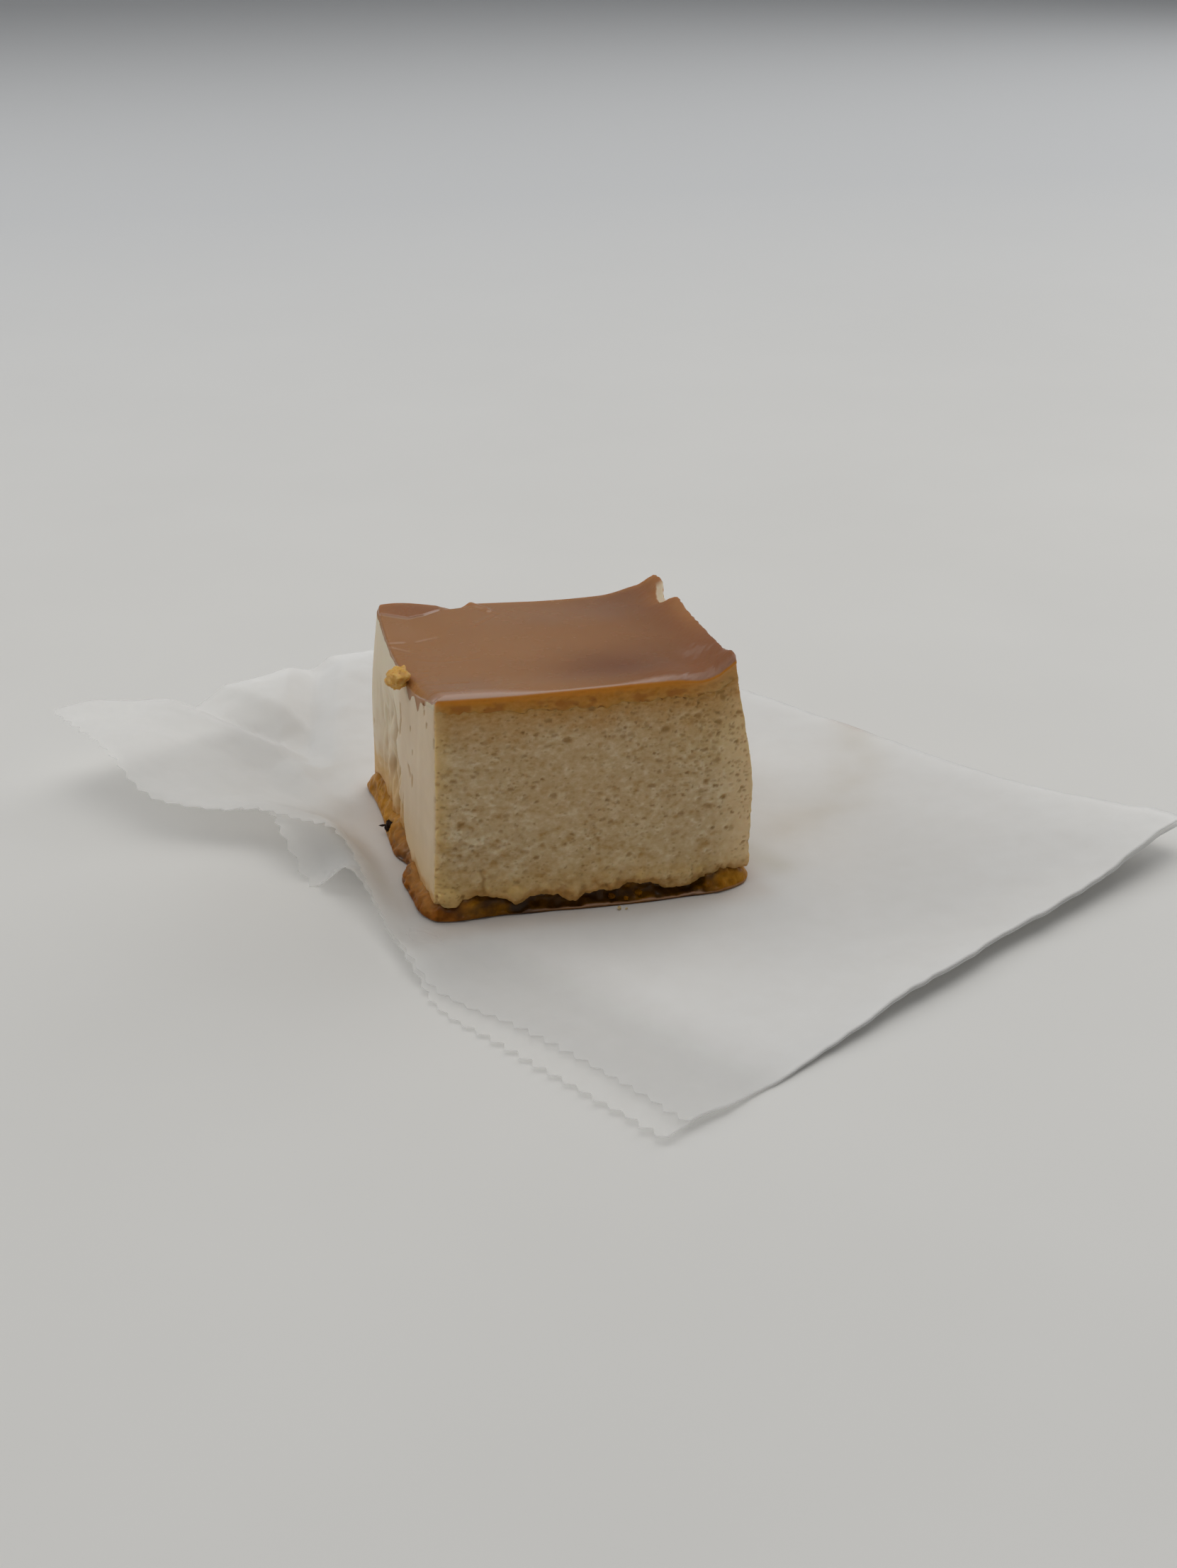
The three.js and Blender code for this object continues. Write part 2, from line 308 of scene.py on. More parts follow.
def ripple(places, sizes, seed):
    """Smooth noise from -1 to 1: a random number at each corner of a lattice of cells of
    the given sizes, eased between the corners."""
    scaled = [np.asarray(p, float) / s for p, s in zip(places, sizes)]
    floors = [np.floor(p) for p in scaled]
    eased = [(p - f) ** 2 * (3 - 2 * (p - f)) for p, f in zip(scaled, floors)]
    total = 0
    for corner in np.ndindex(*(2,) * len(scaled)):
        weight = 1
        for e, c in zip(eased, corner):
            weight = weight * (e if c else 1 - e)
        total = total + weight * cell_number([f + c for f, c in zip(floors, corner)], seed)
    return 2 * total - 1


def rough(places, sizes, seed, layers=3):
    """Layers of ripple, each half as coarse and half as high as the one before."""
    total = 0
    for layer in range(layers):
        finer = [s / 2**layer for s in sizes]
        total = total + ripple(places, finer, seed + layer) / 2**layer
    return total


def closeness(x, y, path, width):
    """1 on a broken line through the points of path, falling as a bell beside it."""
    nearest = np.full(np.shape(x), 1e9)
    for (from_x, from_y), (to_x, to_y) in zip(path[:-1], path[1:]):
        run_x, run_y = to_x - from_x, to_y - from_y
        along = held(((x - from_x) * run_x + (y - from_y) * run_y) / (run_x**2 + run_y**2))
        away = np.hypot(x - from_x - along * run_x, y - from_y - along * run_y)
        nearest = np.minimum(nearest, away)
    return bell(nearest, 0, width)


def sheet_place(u, v):
    """Plan place of a point u across the sheet and v along its toothed edge."""
    x = SHEET_CORNER[0] + u * cos(PLAIN_TURN) - v * sin(TOOTHED_TURN)
    y = SHEET_CORNER[1] + u * sin(PLAIN_TURN) + v * cos(TOOTHED_TURN)
    return x, y


def edge_of(knots, v, column=1):
    """A number of the toothed edge's table at each place v along it."""
    return curve_through(knots[:, 0], knots[:, column], v)


# Creases of the paper as (start, end, width, height).
CREASES = (
    ((-69.5, 58), (-46, 42), 9, 2.4), ((-68, 72), (-48, 56), 9, -4),
    ((-34.5, 84), (-43, 45), 6, -3), ((-45.5, 34), (-37, 22), 7, 2.2),
)


def clear_of_block(x, y):
    """0 under the block and 1 well clear of it."""
    over_x = np.maximum(np.abs(x + 0.5) - 33.6, 0)
    over_y = np.maximum(np.abs(y + 2.5) - 35.5, 0)
    return ramp(np.hypot(over_x, over_y), 0.8, 12.5)


def crease(x, y, start, end, width, height):
    """A fold with straight flanks along a line in plan: a ridge, or a valley if the
    height is negative."""
    run = np.subtract(end, start)
    length = np.hypot(*run)
    along = ((x - start[0]) * run[0] + (y - start[1]) * run[1]) / length
    beyond = np.maximum(np.maximum(-along, along - length), 0)
    aside = np.abs((x - start[0]) * run[1] - (y - start[1]) * run[0]) / length
    return height * np.maximum(1 - np.hypot(aside, beyond) / width, 0)


def paper_height(u, v):
    """How high the upper ply is lifted: the cube root of the sum of the cubes of a lift
    from each raised edge, then the folds and the small wrinkles, all nothing under the
    block."""
    x, y = sheet_place(u, v)
    edge_reach = mix(13, 34, ramp(v, 125, 160))
    lifts = [
        edge_of(UPPER_EDGE, v, 2) * bell(np.maximum(u - edge_of(UPPER_EDGE, v), 0), 0, edge_reach),
        mix(9.5, 0.8, ramp(u, 70, 125)) * bell(v, SHEET_LENGTH, 27),
        6.8 * bell(np.hypot(u - SHEET_WIDTH, v), 0, 34),
        3.4 * bell(v, 0, 11) * ramp(u, 10, 70),
        1.6 * bell(u, SHEET_WIDTH, 14),
    ]
    lift = np.cbrt(sum(np.maximum(each, 0) ** 3 for each in lifts))
    folds = sum(crease(x, y, *each) for each in CREASES)
    raised = held(lift / 6)
    cockle = (0.10 + 0.35 * raised) * rough((x, y), (13, 10), 21, 3)
    crinkle = (0.02 + 0.10 * raised) * (1 - np.abs(ripple((x + y, x - y), (7, 4.5), 25)))
    return np.maximum(lift + folds + cockle + crinkle, 0) * clear_of_block(x, y)


def grid_rim(rows, columns):
    """The points round the edge of a grid, starting along its first row."""
    return np.concatenate([
        np.arange(columns), np.arange(1, rows) * columns + columns - 1,
        (rows - 1) * columns + np.arange(columns - 2, -1, -1),
        np.arange(rows - 2, 0, -1) * columns,
    ])


def ply(name, edge, lift, rest):
    """A closed thin sheet on a grid of rows along the toothed edge and columns across,
    closer near that edge. The teeth are a triangle wave that dies away inwards."""
    rows_a_tooth, columns = 6, 134
    rows = TEETH * rows_a_tooth + 1
    v = np.linspace(0, SHEET_LENGTH, rows)[:, None]
    share = np.linspace(0, 1, columns)[None, :] ** 1.5
    inner_edge = edge_of(UPPER_EDGE, v)
    first_edge = edge_of(edge, v)
    u = mix(inner_edge, SHEET_WIDTH, share)
    u = u + (first_edge - inner_edge) * held(1 - share * 22)
    tooth = 1 - np.abs((v * TEETH / SHEET_LENGTH) % 1 * 2 - 1)
    uneven = (0.75 + 0.25 * ripple((v,), (5,), 31)) * mix(1, 0.4, bell(v, 79, 16))
    u = u - TOOTH_DEPTH * tooth * uneven * held(1 - (u - first_edge) / TOOTH_REACH)
    v = v + 0 * u
    v = v + (0.5 * ripple((u,), (14,), 33) + 0.2 * ripple((u,), (3,), 34)) * bell(v, 0, 3)
    x, y = sheet_place(u, v)
    # Off the block the upper ply sinks onto the lower one.
    height = lift(u, v) + mix(rest, min(rest, OPEN_REST), clear_of_block(x, y))
    under = np.stack([x, y, height], axis=2)
    over = under + [0, 0, PLY_THICKNESS]
    upward = grid_faces(rows, columns)
    rim = grid_rim(rows, columns)
    after = np.roll(rim, -1)
    to_under = rows * columns
    side_faces = np.stack([rim, rim + to_under, after + to_under, after], axis=1)
    faces = [upward, upward[:, ::-1] + to_under, side_faces]
    flat = np.concatenate([over.reshape(-1, 3), under.reshape(-1, 3)])
    # The raised side of the sheet is the more see-through.
    reach = mix(20, 50, ramp(v, 110, 150))
    layers = {"thin": np.tile(fall(u, 0.6 * reach, 1.5 * reach).ravel(), 2)}
    for stain_name, amount in sheet_stains(x, y).items():
        layers[stain_name] = np.tile(amount.ravel(), 2)
    return put_mesh(name, flat, faces, paper, layers)


def sheet_stains(x, y):
    """Where grease and syrup have soaked the paper, from 0 to 1: around the block's foot,
    in a patch on its left, in smears on its right and in an arc further out."""
    frayed = 1 + 0.35 * rough((x, y), (6, 6), 41)
    left_patch = 0.12 * bell(np.hypot((x + 39) / 8, (y - 13) / 14), 0, 0.8)
    from_foot = np.hypot(np.maximum(np.abs(x) - 31.5, 0), np.maximum(np.abs(y + 2) - 34, 0))
    foot = bell(from_foot, 0, 3.5)
    arc = 0.6 * closeness(x, y, [(46, -12), (64, -2), (74, 14), (79, 30)], 6)
    smear = 0.7 * closeness(x, y, [(35, -17), (39, -27)], 3.5)
    back_smear = closeness(x, y, [(79, 36), (82, 30)], 2.0)
    return {
        "syrup": held((left_patch + 0.25 * foot + 0.12 * arc) * frayed),
        "oil": held((0.5 * smear + 0.25 * arc) * frayed),
        "blush": held(back_smear * frayed),
    }


paper = new_finish("greaseproof_paper", (0.99, 0.98, 0.965), 0.45, Specular_IOR_Level=0.18)
fibre_cloud = spread(mottle(paper, 5, 5), 0.3, 0.7)
plain_paper = blend_colour(fibre_cloud, (0.975, 0.965, 0.945), (0.995, 0.988, 0.972))
paper_colour = washed(paper, plain_paper, [
    ("syrup", 0.6, (0.72, 0.46, 0.24)), ("oil", 0.5, (0.62, 0.56, 0.36)),
    ("blush", 0.5, (0.66, 0.33, 0.22)),
])
feed(
    paper, Base_Color=paper_colour, Alpha=spread(painted(paper, "thin"), 0, 1, 0.6, 0.21),
    Normal=bumpy([(mottle(paper, 1.6, 4), 0.12, 0.3), (mottle(paper, 0.35, 2), 0.10, 0.06)]),
)
# A little of the light that falls on the paper comes through it.
paper_tree = paper.node_tree
glow_through = add_node(paper_tree, "ShaderNodeBsdfTranslucent", {"Color": paper_colour})
shader = paper_tree.nodes["Principled BSDF"].outputs[0]
paper_mix = {0: 0.06, 1: shader, 2: glow_through.outputs[0]}
mixed = add_node(paper_tree, "ShaderNodeMixShader", paper_mix).outputs[0]
paper_tree.links.new(mixed, paper_tree.nodes["Material Output"].inputs["Surface"])


def lower_height(u, v):
    """The lower ply keeps to most of the upper one's lift, and drops to the table as a
    tongue under the arch."""
    droop = bell(v, 109, 7.5) * fall(u, 11, 25)
    return paper_height(u, v) * (1 - droop) * 0.86


lower_ply = ply("greaseproof_lower_ply", LOWER_EDGE, lower_height, 0.03)
upper_ply = ply("greaseproof_upper_ply", UPPER_EDGE, paper_height, 0.62)
for sheet, node in ((lower_ply, "paper_lower_ply"), (upper_ply, "paper_upper_ply")):
    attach(sheet, "root")
    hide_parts(node)

# ---- Syrup base ----
# The soft bottom of the pudding, soaked with burnt sugar: a low glossy layer that swells
# out at the corners as amber jelly and is a dark crumbling hollow along the front.

FOOT = 0.78  # where the food touches the upper ply
BLOCK_FOOT, BLOCK_HEIGHT = 1.1, 41.3
FOOT_SIZE, TOP_SIZE = (62, 62.4), (58.1, 52.4)  # width and depth of the block

# The layer's outline on the paper, anticlockwise from the front left corner.
BASE_OUTLINE = [
    (-32, -30.1), (-30.6, -32.2), (-28.4, -33), (-25.8, -33.4), (-21.6, -33.3), (-17.4, -33.3),
    (-13.3, -33.8), (-7.7, -34.1), (-3.7, -34.6), (4.7, -35.2), (11, -35.5), (17.2, -35.4),
    (25.2, -35.2), (28.5, -34.1), (30.5, -32.8), (31.8, -30.6), (32, -27), (31.7, -20),
    (31.2, -9), (31.9, 3), (31.3, 14), (31.6, 25), (30.2, 31.2), (24, 32), (12, 31.4),
    (0, 32.2), (-12, 31.5), (-22, 32.2), (-27, 32.5), (-30, 32.9), (-31.9, 31.2),
    (-32.3, 28.8), (-32, 25), (-31.9, 20.1), (-32, 13), (-32.5, 7.7), (-32.7, 1.8),
    (-32.7, -3.4), (-31.1, -8.9), (-33.5, -14.2), (-33.3, -18.7), (-33, -24.9), (-32.9, -27.4),
]
# The base's profile, in rows of (share of its height, inset, inset in its hollow).
BASE_PROFILE = np.array([
    (0, 2.5, 2.5), (0, 0.35, 0.1), (0.06, 0, 0), (0.12, -0.05, 0.25), (0.18, 0, 0.9),
    (0.24, 0.1, 1.7), (0.3, 0.2, 2.4), (0.38, 0.35, 2.8), (0.46, 0.5, 3), (0.54, 0.7, 3.1),
    (0.62, 0.95, 3.1), (0.7, 1.25, 3.1), (0.78, 1.6, 3.2), (0.86, 2, 3.3), (0.93, 2.5, 3.5),
    (1, 3.1, 3.8), (1, 4.5, 4.8), (1, 12, 12),
])
# Height of the custard's ragged lower edge along the front, as (x, height).
FRONT_HEM = np.array([
    (-33, 3.5), (-29.75, 3.4), (-27.9, 2.9), (-23.5, 4.9), (-18.5, 4.5), (-15.2, 3.1),
    (-12.3, 4.3), (-8, 3.9), (-4.4, 2.5), (-1.5, 3.4), (1.5, 3.8), (6.5, 4.5), (11.5, 4.1),
    (14, 3.1), (17, 2.7), (20.2, 3), (22.75, 3.9), (24.5, 4.5), (33, 4.2),
])


def run_along(points):
    """How far each point of a broken line lies along it in plan."""
    return np.concatenate([[0], np.cumsum(np.hypot(*np.diff(points[:, :2], axis=0).T))])


def ring_through(points, count):
    """A smooth closed curve through points, in evenly spaced steps: in each stretch a
    cubic whose slopes are those between the neighbouring points."""
    looped = np.array(points + points[:1] + points[1:2], float)
    looped = np.concatenate([looped[-3:-2], looped])
    places = run_along(looped)
    fine = np.linspace(places[1], places[-2], 8 * count + 1)
    curve = np.stack([curve_through(places, looped[:, k], fine) for k in (0, 1)], axis=1)
    run = run_along(curve)
    even = np.linspace(0, run[-1], count, endpoint=False)
    return np.stack([np.interp(even, run, curve[:, k]) for k in (0, 1)], axis=1)


def block_plan(across, along, height):
    """Plan place of a point of the pudding at a height above its foot; across and along
    run from -1 to 1. Straight sides that draw in upwards are bowed at the front, bulged
    on the right, slumped on the left and rounded at the corners."""
    share = held(height / BLOCK_HEIGHT)
    half_width, half_depth = [mix(*ends, share) / 2 for ends in zip(FOOT_SIZE, TOP_SIZE)]
    middle = 1.1 * share
    y0 = along * half_depth
    bow = mix(3.3, 1.3, share) * (1 - (across - 0.25) ** 2 / 1.5625)
    slump = 2.2 * share * np.maximum(1 - ((y0 - 4) / 34) ** 2, 0)
    back_fullness = 1.1 * bell(height, 22, 14) * ramp(y0, 8, 26)
    left = middle - half_width - slump - back_fullness
    right = middle + half_width + 2.3 * bell(height, 17, 15)
    # Behind the middle of the right side the top edge has broken off.
    in_break = ramp(y0, 11, 11.8) * fall(y0, 12, 23)
    right = right - 2.2 * in_break * ramp(height, 36, 38.5)
    right = right + 0.15 * ripple((y0, height + 0 * y0), (0.9, 1.4), 57) * ramp(height, 30, 36)
    x = mix(left, right, (across + 1) / 2)
    y = y0 - bow * ((1 - along) / 2) ** 2
    rounding = 0.018 * (across * along) ** 12
    return x * (1 - rounding), y * (1 - rounding)


def hem_height(x, y):
    """Height of the custard's lower edge: the front's ragged one, and round the sides
    a gently uneven one."""
    front = curve_through(*FRONT_HEM.T, x)
    front = front + 0.3 * rough((x,), (2.4,), 51, 2) + 0.22 * rough((x,), (0.9,), 52, 2)
    elsewhere = 4.1 + 0.7 * ripple((x + 2 * y,), (6,), 53) + 0.3 * ripple((x - y,), (1.7,), 54)
    elsewhere = elsewhere + 3.4 * bell(y, 21, 8) * (x < -20)
    return mix(elsewhere, front, ramp(-y, 27, 30))


def surface_normals(rings):
    """Outward unit normals of a stack of closed rings, from the cross product of the
    steps along a ring and up the stack."""
    along = np.roll(rings, -1, axis=1) - np.roll(rings, 1, axis=1)
    up = np.gradient(rings, axis=0)
    across = np.cross(along, up)
    return across / np.maximum(np.linalg.norm(across, axis=2, keepdims=True), 1e-9)


def stack_faces(rings, columns):
    """Faces of a stack of closed rings, anticlockwise seen from above and going up, with
    a middle point below the first ring and one above the last."""
    step = np.arange(columns)
    after = (step + 1) % columns
    below, above = rings * columns, rings * columns + 1
    last = (rings - 1) * columns
    floor = np.stack([np.full(columns, below), after, step], axis=1)
    lid = np.stack([np.full(columns, above), last + step, last + after], axis=1)
    return [grid_faces(rings, columns, wrap=True), floor, lid]


def stack_mesh(name, rings, finish, layers):
    """A closed mesh from a stack of rings, each end drawn in to its own middle."""
    ends = np.stack([rings[0].mean(axis=0), rings[-1].mean(axis=0)])
    points = np.concatenate([rings.reshape(-1, 3), ends])
    filled = {}
    for key, values in layers.items():
        end_values = [values[0].mean(), values[-1].mean()]
        filled[key] = np.concatenate([values.ravel(), end_values])
    return put_mesh(name, points, stack_faces(*rings.shape[:2]), finish, filled)


def base_rings(columns):
    """The layer's skin: from the outline on the paper each column climbs a thin film's
    edge, steps back into the hollow where there is one, and leans in under the custard.
    Lumps and hollows then push it along its normals."""
    outline = ring_through(BASE_OUTLINE, columns)
    x, y = outline.T
    outward = np.roll(outline, -1, axis=0) - np.roll(outline, 1, axis=0)
    outward = np.stack([outward[:, 1], -outward[:, 0]], axis=1)
    outward /= np.linalg.norm(outward, axis=1, keepdims=True)
    # 1 along the front where the base has crumbled away behind its film.
    hollow = ramp(-y, 31, 33) * ramp(x, -19, -10) * fall(x, 20.5, 22.3)
    hollow = hollow * (0.85 + 0.15 * ripple((x,), (4,), 61))
    rim = hem_height(x, y) + 0.5
    levels, full_inset, hollow_inset = BASE_PROFILE.T[:, :, None]
    inset = mix(full_inset, hollow_inset, hollow[None, :])
    z = mix(FOOT, rim[None, :], levels)
    # The film's edge stays low along the hollow.
    thin = FOOT + np.array([0, 0, 0.25, 0.45, 0.55, 0.62])[:, None]
    z[:len(thin)] = mix(z[:len(thin)], thin, hollow[None, :])
    plan = outline - inset[:, :, None] * outward
    rings = np.concatenate([plan, z[:, :, None]], axis=2)
    lumps = rough(rings.transpose(2, 0, 1), (5.5, 5.5, 3.4), 63, 3)
    crumbs = rough(rings.transpose(2, 0, 1), (1.6, 1.6, 1.2), 66, 3)
    crumbly = ramp(-y, 31, 32.5) * ramp(x, -28.5, -25)
    folded = ramp(-x, 27, 30) * (1 - 0.5 * ramp(y, 8, 24))
    push = 0.22 * lumps + (0.05 + 0.5 * crumbly + 0.34 * folded)[None, :] * crumbs
    # The rings under the film's edge stay as they are, and the push grows above them.
    shown = held((np.arange(len(levels)) - 2) / 3)[:, None]
    rings = rings + surface_normals(rings) * (push * shown)[:, :, None]
    rings[:, :, 2] = np.maximum(rings[:, :, 2], FOOT)
    rings[0, :, 2] = FOOT
    # A painted highlight: the film's edge row along the front is painted lighter.
    film, edge_row = np.zeros(rings.shape[:2]), 3
    film[edge_row] = 0.9 * ramp(-y, 31, 33) * ramp(x, -18, -4)
    return rings, hollow, film


base_stack, base_hollow, film_edge_highlight = base_rings(700)
bx, by, bz = base_stack.transpose(2, 0, 1)
amber_right = ramp(bx, 21.5, 23)
amber_back = ramp(by, -1, 6) * ramp(-bx, 20, 28)
amber_lump = 0.7 * bell(bx, -23.8, 2.4) * ramp(-by, 31, 32.5)
base_amber = held(amber_right + amber_back + amber_lump)
base_red = ramp(-bx, 22, 28) * fall(by, 0, 9) * (0.55 + 0.45 * ramp(-by, -6, 8))
dark_patches = 0.5 * rough((bx, bz), (3.5, 2.0), 68, 3)
# Partly painted shade: the hollow is painted near black, partly as dark burnt syrup and partly as
# shade under the custard that overhangs it.
base_burnt_and_shade = base_hollow[None, :] * held(0.85 + dark_patches)
front_left = ramp(-by, 31, 32.5) * ramp(-bx, 10, 16)
patchy = held(0.1 + dark_patches + 0.65 * bell(bx, -15, 5)) * ramp(bx, -31, -26)
base_burnt_and_shade += front_left * patchy
# A painted shadow: a dark line just left of the amber corner along the front.
base_burnt_and_shade += 0.4 * bell(bx, 23.2, 1.3) * ramp(-by, 31, 32.5)
# Under the custard's ragged edge there is a gap, painted dark as shade.
base_burnt_and_shade += 0.6 * bell(hem_height(bx, by) - bz, 0.1, 0.5) * ramp(-by, 29, 32)
# The creases between the lumps of the left corner are painted darker, as shade in them.
folds = ramp(-rough((bx, by, bz), (1.6, 1.6, 1.2), 66, 3), 0, 0.8)
base_burnt_and_shade += 0.55 * folds * ramp(-bx, 26, 29) * (1 - 0.6 * ramp(by, 2, 14))
# Painted shade in the notch of the left side, under the custard.
base_burnt_and_shade = held(base_burnt_and_shade + 0.4 * bell(by, -7, 4) * ramp(-bx, 28, 31))
base_fade = ramp(bz - hem_height(bx, by), -2.4, 0.2) * fall(-by, 29, 32)

syrup = new_finish(
    "burnt_syrup", (0.12, 0.04, 0.012), 0.28, Specular_IOR_Level=0.04, Coat_Roughness=0.28,
    Specular_Tint=(0.9, 0.62, 0.42, 1), Subsurface_Weight=0.35, Subsurface_Scale=0.002,
    Subsurface_Radius=(1.0, 0.45, 0.12),
)
syrup_cloud = spread(mottle(syrup, 2.6, 5), 0.35, 0.65)
brown, amber, red = [blend_colour(syrup_cloud, dark, light) for dark, light in (
    ((0.12, 0.04, 0.001), (0.34, 0.14, 0.004)), ((0.34, 0.13, 0.003), (0.54, 0.25, 0.03)),
    ((0.21, 0.06, 0.006), (0.38, 0.135, 0.026)),
)]
feed(
    syrup, Coat_Weight=times(painted(syrup, "dark"), 0.6),
    Base_Color=washed(syrup, brown, [
        ("amber", 1, amber), ("red", 0.75, red), ("dark", 0.9, (0.045, 0.018, 0.004)),
        # The film wash is a painted highlight on the film's edge; the dark wash is burnt syrup and
        # painted shade.
        ("film", 1, (0.42, 0.23, 0.13)), ("fade", 0.45, (0.58, 0.30, 0.09)),
    ]),
    Normal=bumpy([(mottle(syrup, 0.9, 4), 0.4, 0.22), (mottle(syrup, 0.3, 2), 0.25, 0.08)]),
)
syrup_base = stack_mesh("syrup_base", base_stack, syrup, {
    "amber": base_amber, "red": base_red, "dark": base_burnt_and_shade, "film": film_edge_highlight, "fade": base_fade,
})
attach(syrup_base, "root")
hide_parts("caramel_base")

# ---- Custard ----
# A block of baked egg custard. The front, right and back were cut through its fine
# pores; the left side was the smooth skin of the dish side, torn down its middle.

CARAMEL_LAYER = 3.3
SIDE_FOOT, SIDE_TOP = 2.3, 38  # above the block's foot
TOP_HALF_WIDTH, TOP_HALF_DEPTH = 29, 26
TOP_LEVEL = BLOCK_FOOT + 39.8

# Pores that stand out on the front, in rows of (x, z, half width, half height, depth).
BIG_PORES = [
    (-4, 33.4, 0.95, 0.6, 0.8), (15.1, 33.5, 0.95, 0.7, 0.9), (12, 22.9, 0.9, 0.5, 0.7),
    (-16.1, 20.1, 0.75, 0.5, 0.6), (26.8, 38.2, 0.6, 0.8, 0.7), (-6.9, 35.2, 0.6, 0.4, 0.5),
    (-7.9, 32.6, 0.7, 0.35, 0.45), (6, 34.3, 0.7, 0.35, 0.5), (8.4, 33.2, 0.65, 0.35, 0.5),
    (-17.8, 32.1, 0.6, 0.35, 0.4), (2.1, 17.7, 0.7, 0.35, 0.5), (8.5, 16, 0.7, 0.3, 0.5),
    (4.9, 21.8, 0.6, 0.35, 0.45), (23.1, 24.5, 0.7, 0.4, 0.5), (27.8, 12.7, 0.6, 0.6, 0.5),
    (11.5, 34.6, 0.6, 0.35, 0.5), (-19.9, 37.1, 0.5, 0.4, 0.3), (19.5, 35.6, 0.6, 0.35, 0.5),
    (22.4, 33.9, 0.7, 0.4, 0.5), (9.2, 28.4, 0.6, 0.35, 0.45), (-21, 19.5, 0.5, 0.4, 0.5),
    (-24, 22, 0.6, 0.3, 0.4), (24.8, 29.8, 0.7, 0.35, 0.45), (-18.5, 24.8, 0.5, 0.3, 0.4),
]
# Bits of curd that hang from the front's lower edge, in rows of (x, z, radius, how golden).
NUGGETS = [
    (-15.3, 4.7, 1.7, 1.0), (-4.4, 3.5, 1.5, 0.3), (20.7, 5.4, 1.1, 0.5), (8.9, 5.4, 1.2, 0.9),
    (-27.5, 4.6, 2.2, 0.4), (-9.6, 5.3, 1.2, 0.2), (3.2, 5.0, 1.1, 0.2), (-20.6, 5.9, 1.0, 0.2),
]
# The tear down the left side, as (height, y): the smooth skin ends there.
TEAR = np.array([
    (2.5, -12), (3.7, -11), (4.9, -9.5), (5.7, -6.4), (8.5, -4.2), (12.7, -3.8), (18.7, -4.2),
    (19.4, -1), (20.7, 1.4), (23.5, 2), (26.6, -0.6), (31, -1), (42, -1),
])
# Short dents in that skin, each a line of (y, height) with its half width.
SKIN_DENTS = [
    ([(-2.2, 32.9), (-2.8, 30.3), (-1.3, 26.6)], 0.32), ([(-8.9, 22.6), (-10.3, 21.4)], 0.4),
    ([(-12.1, 21.8), (-12, 20.1)], 0.4), ([(-20.2, 40), (-20.4, 39.4)], 0.25),
    ([(-20.8, 38.9), (-20.8, 38.2)], 0.22), ([(-22.4, 36.9), (-22.4, 36.2)], 0.2),
    ([(-10.7, 31.4), (-10.7, 31)], 0.3), ([(-12.5, 27.3), (-12.5, 26.8)], 0.22),
    ([(-26.2, 35.2), (-26.4, 33.6)], 0.18), ([(24.1, 19), (24.1, 18.6)], 0.3),
]


def top_surface(x, y):
    """Height of the caramel's top: dished, sagging to the left, curled up on the right."""
    front_left = 1.5 * ramp(-x, 12, 28) * ramp(-y, 8, 26)
    back_left = 2.4 * ramp(-x, 8, 27) * ramp(y, 4, 26)
    front_right = 2.8 * held((x - 21) / 8.5) ** 2 * ramp(-y, 10, 24)
    back_right = 1.7 * ramp(x, 26, 31) * ramp(y, 2, 18)
    rims = 0.3 * ramp(-y, 16, 26) + 1.6 * ramp(x, 18, 30)
    back_dip = 1.4 * ramp(y, 5, 26) * bell(x, 12, 20)
    left_sag = 0.4 * ramp(-x, 10, 30) * bell(y, -2, 16)
    to_back = ramp(y, -10, 20)
    crown = 1.35 * ramp(x, mix(-30, -18, to_back), mix(-13, -9, to_back))
    crown = crown * (1 - 1.5 * ramp(x, 17, 27) * ramp(-y, 11, 20))
    corners = front_left + back_left + front_right + back_right
    return TOP_LEVEL + corners + rims + crown - back_dip - left_sag


def rim_gaps(across, along):
    """How far a point of the top is from the front, back, left and right rim."""
    front, back = TOP_HALF_DEPTH * (1 + along), TOP_HALF_DEPTH * (1 - along)
    return front, back, TOP_HALF_WIDTH * (1 + across), TOP_HALF_WIDTH * (1 - across)


def rim_roll(x, across, along):
    """How far the skin turns down towards its rim: by a parabola over a front strip that
    is wide at both corners, by a steeper one over the left rim behind its front corner,
    and all round by a small quarter round. Behind the front strip it swells a little."""
    strip = 0.8 + 1.9 * ramp(-x, 4, 22) + 2.3 * ramp(x, 8, 22)
    gaps = rim_gaps(across, along)
    from_front, _, from_left, _ = gaps
    turned = 0.3 * strip * held(1 - from_front / strip) ** 2
    swell = 0.2 * strip * bell(from_front, 0.5 * strip, 7)
    left_strip = 0.6 + 2.0 * ramp(from_front, 0, 1.8) * fall(from_front, 12, 24)
    turned = turned + 0.55 * left_strip * held(1 - from_left / left_strip) ** 2
    rounded = 1 - np.sqrt(1 - (1 - held(np.minimum.reduce(gaps) / 0.35)) ** 2)
    return turned - swell + 0.2 * rounded


def band_floor(x, y):
    """Height of the wavy line on the sides where the caramel layer ends. On the left it
    is a narrow edge with three drips that have run down from it."""
    depth = 2.6 + 0.7 * ramp(x, -24, 0)
    ragged = 0.5 * ripple((x + y,), (2.7,), 71) + 0.3 * ripple((x - y,), (1.0,), 72)
    edge = mix(1.75, 0.9, ramp(y, -14, -2)) + 0.2 * ripple((y,), (1.3,), 73)
    drips = 2.3 * bell(y, -10.2, 2.6) ** 2 + 2.7 * bell(y, -16.3, 2.1) ** 2
    drips = drips + 0.7 * bell(y, -20.6, 1.1)
    on_left = ramp(-x, 27.5, 28.5) * ramp(y, -26.6, -25)
    return top_surface(x, y) - mix(depth - ragged, edge + drips, on_left)


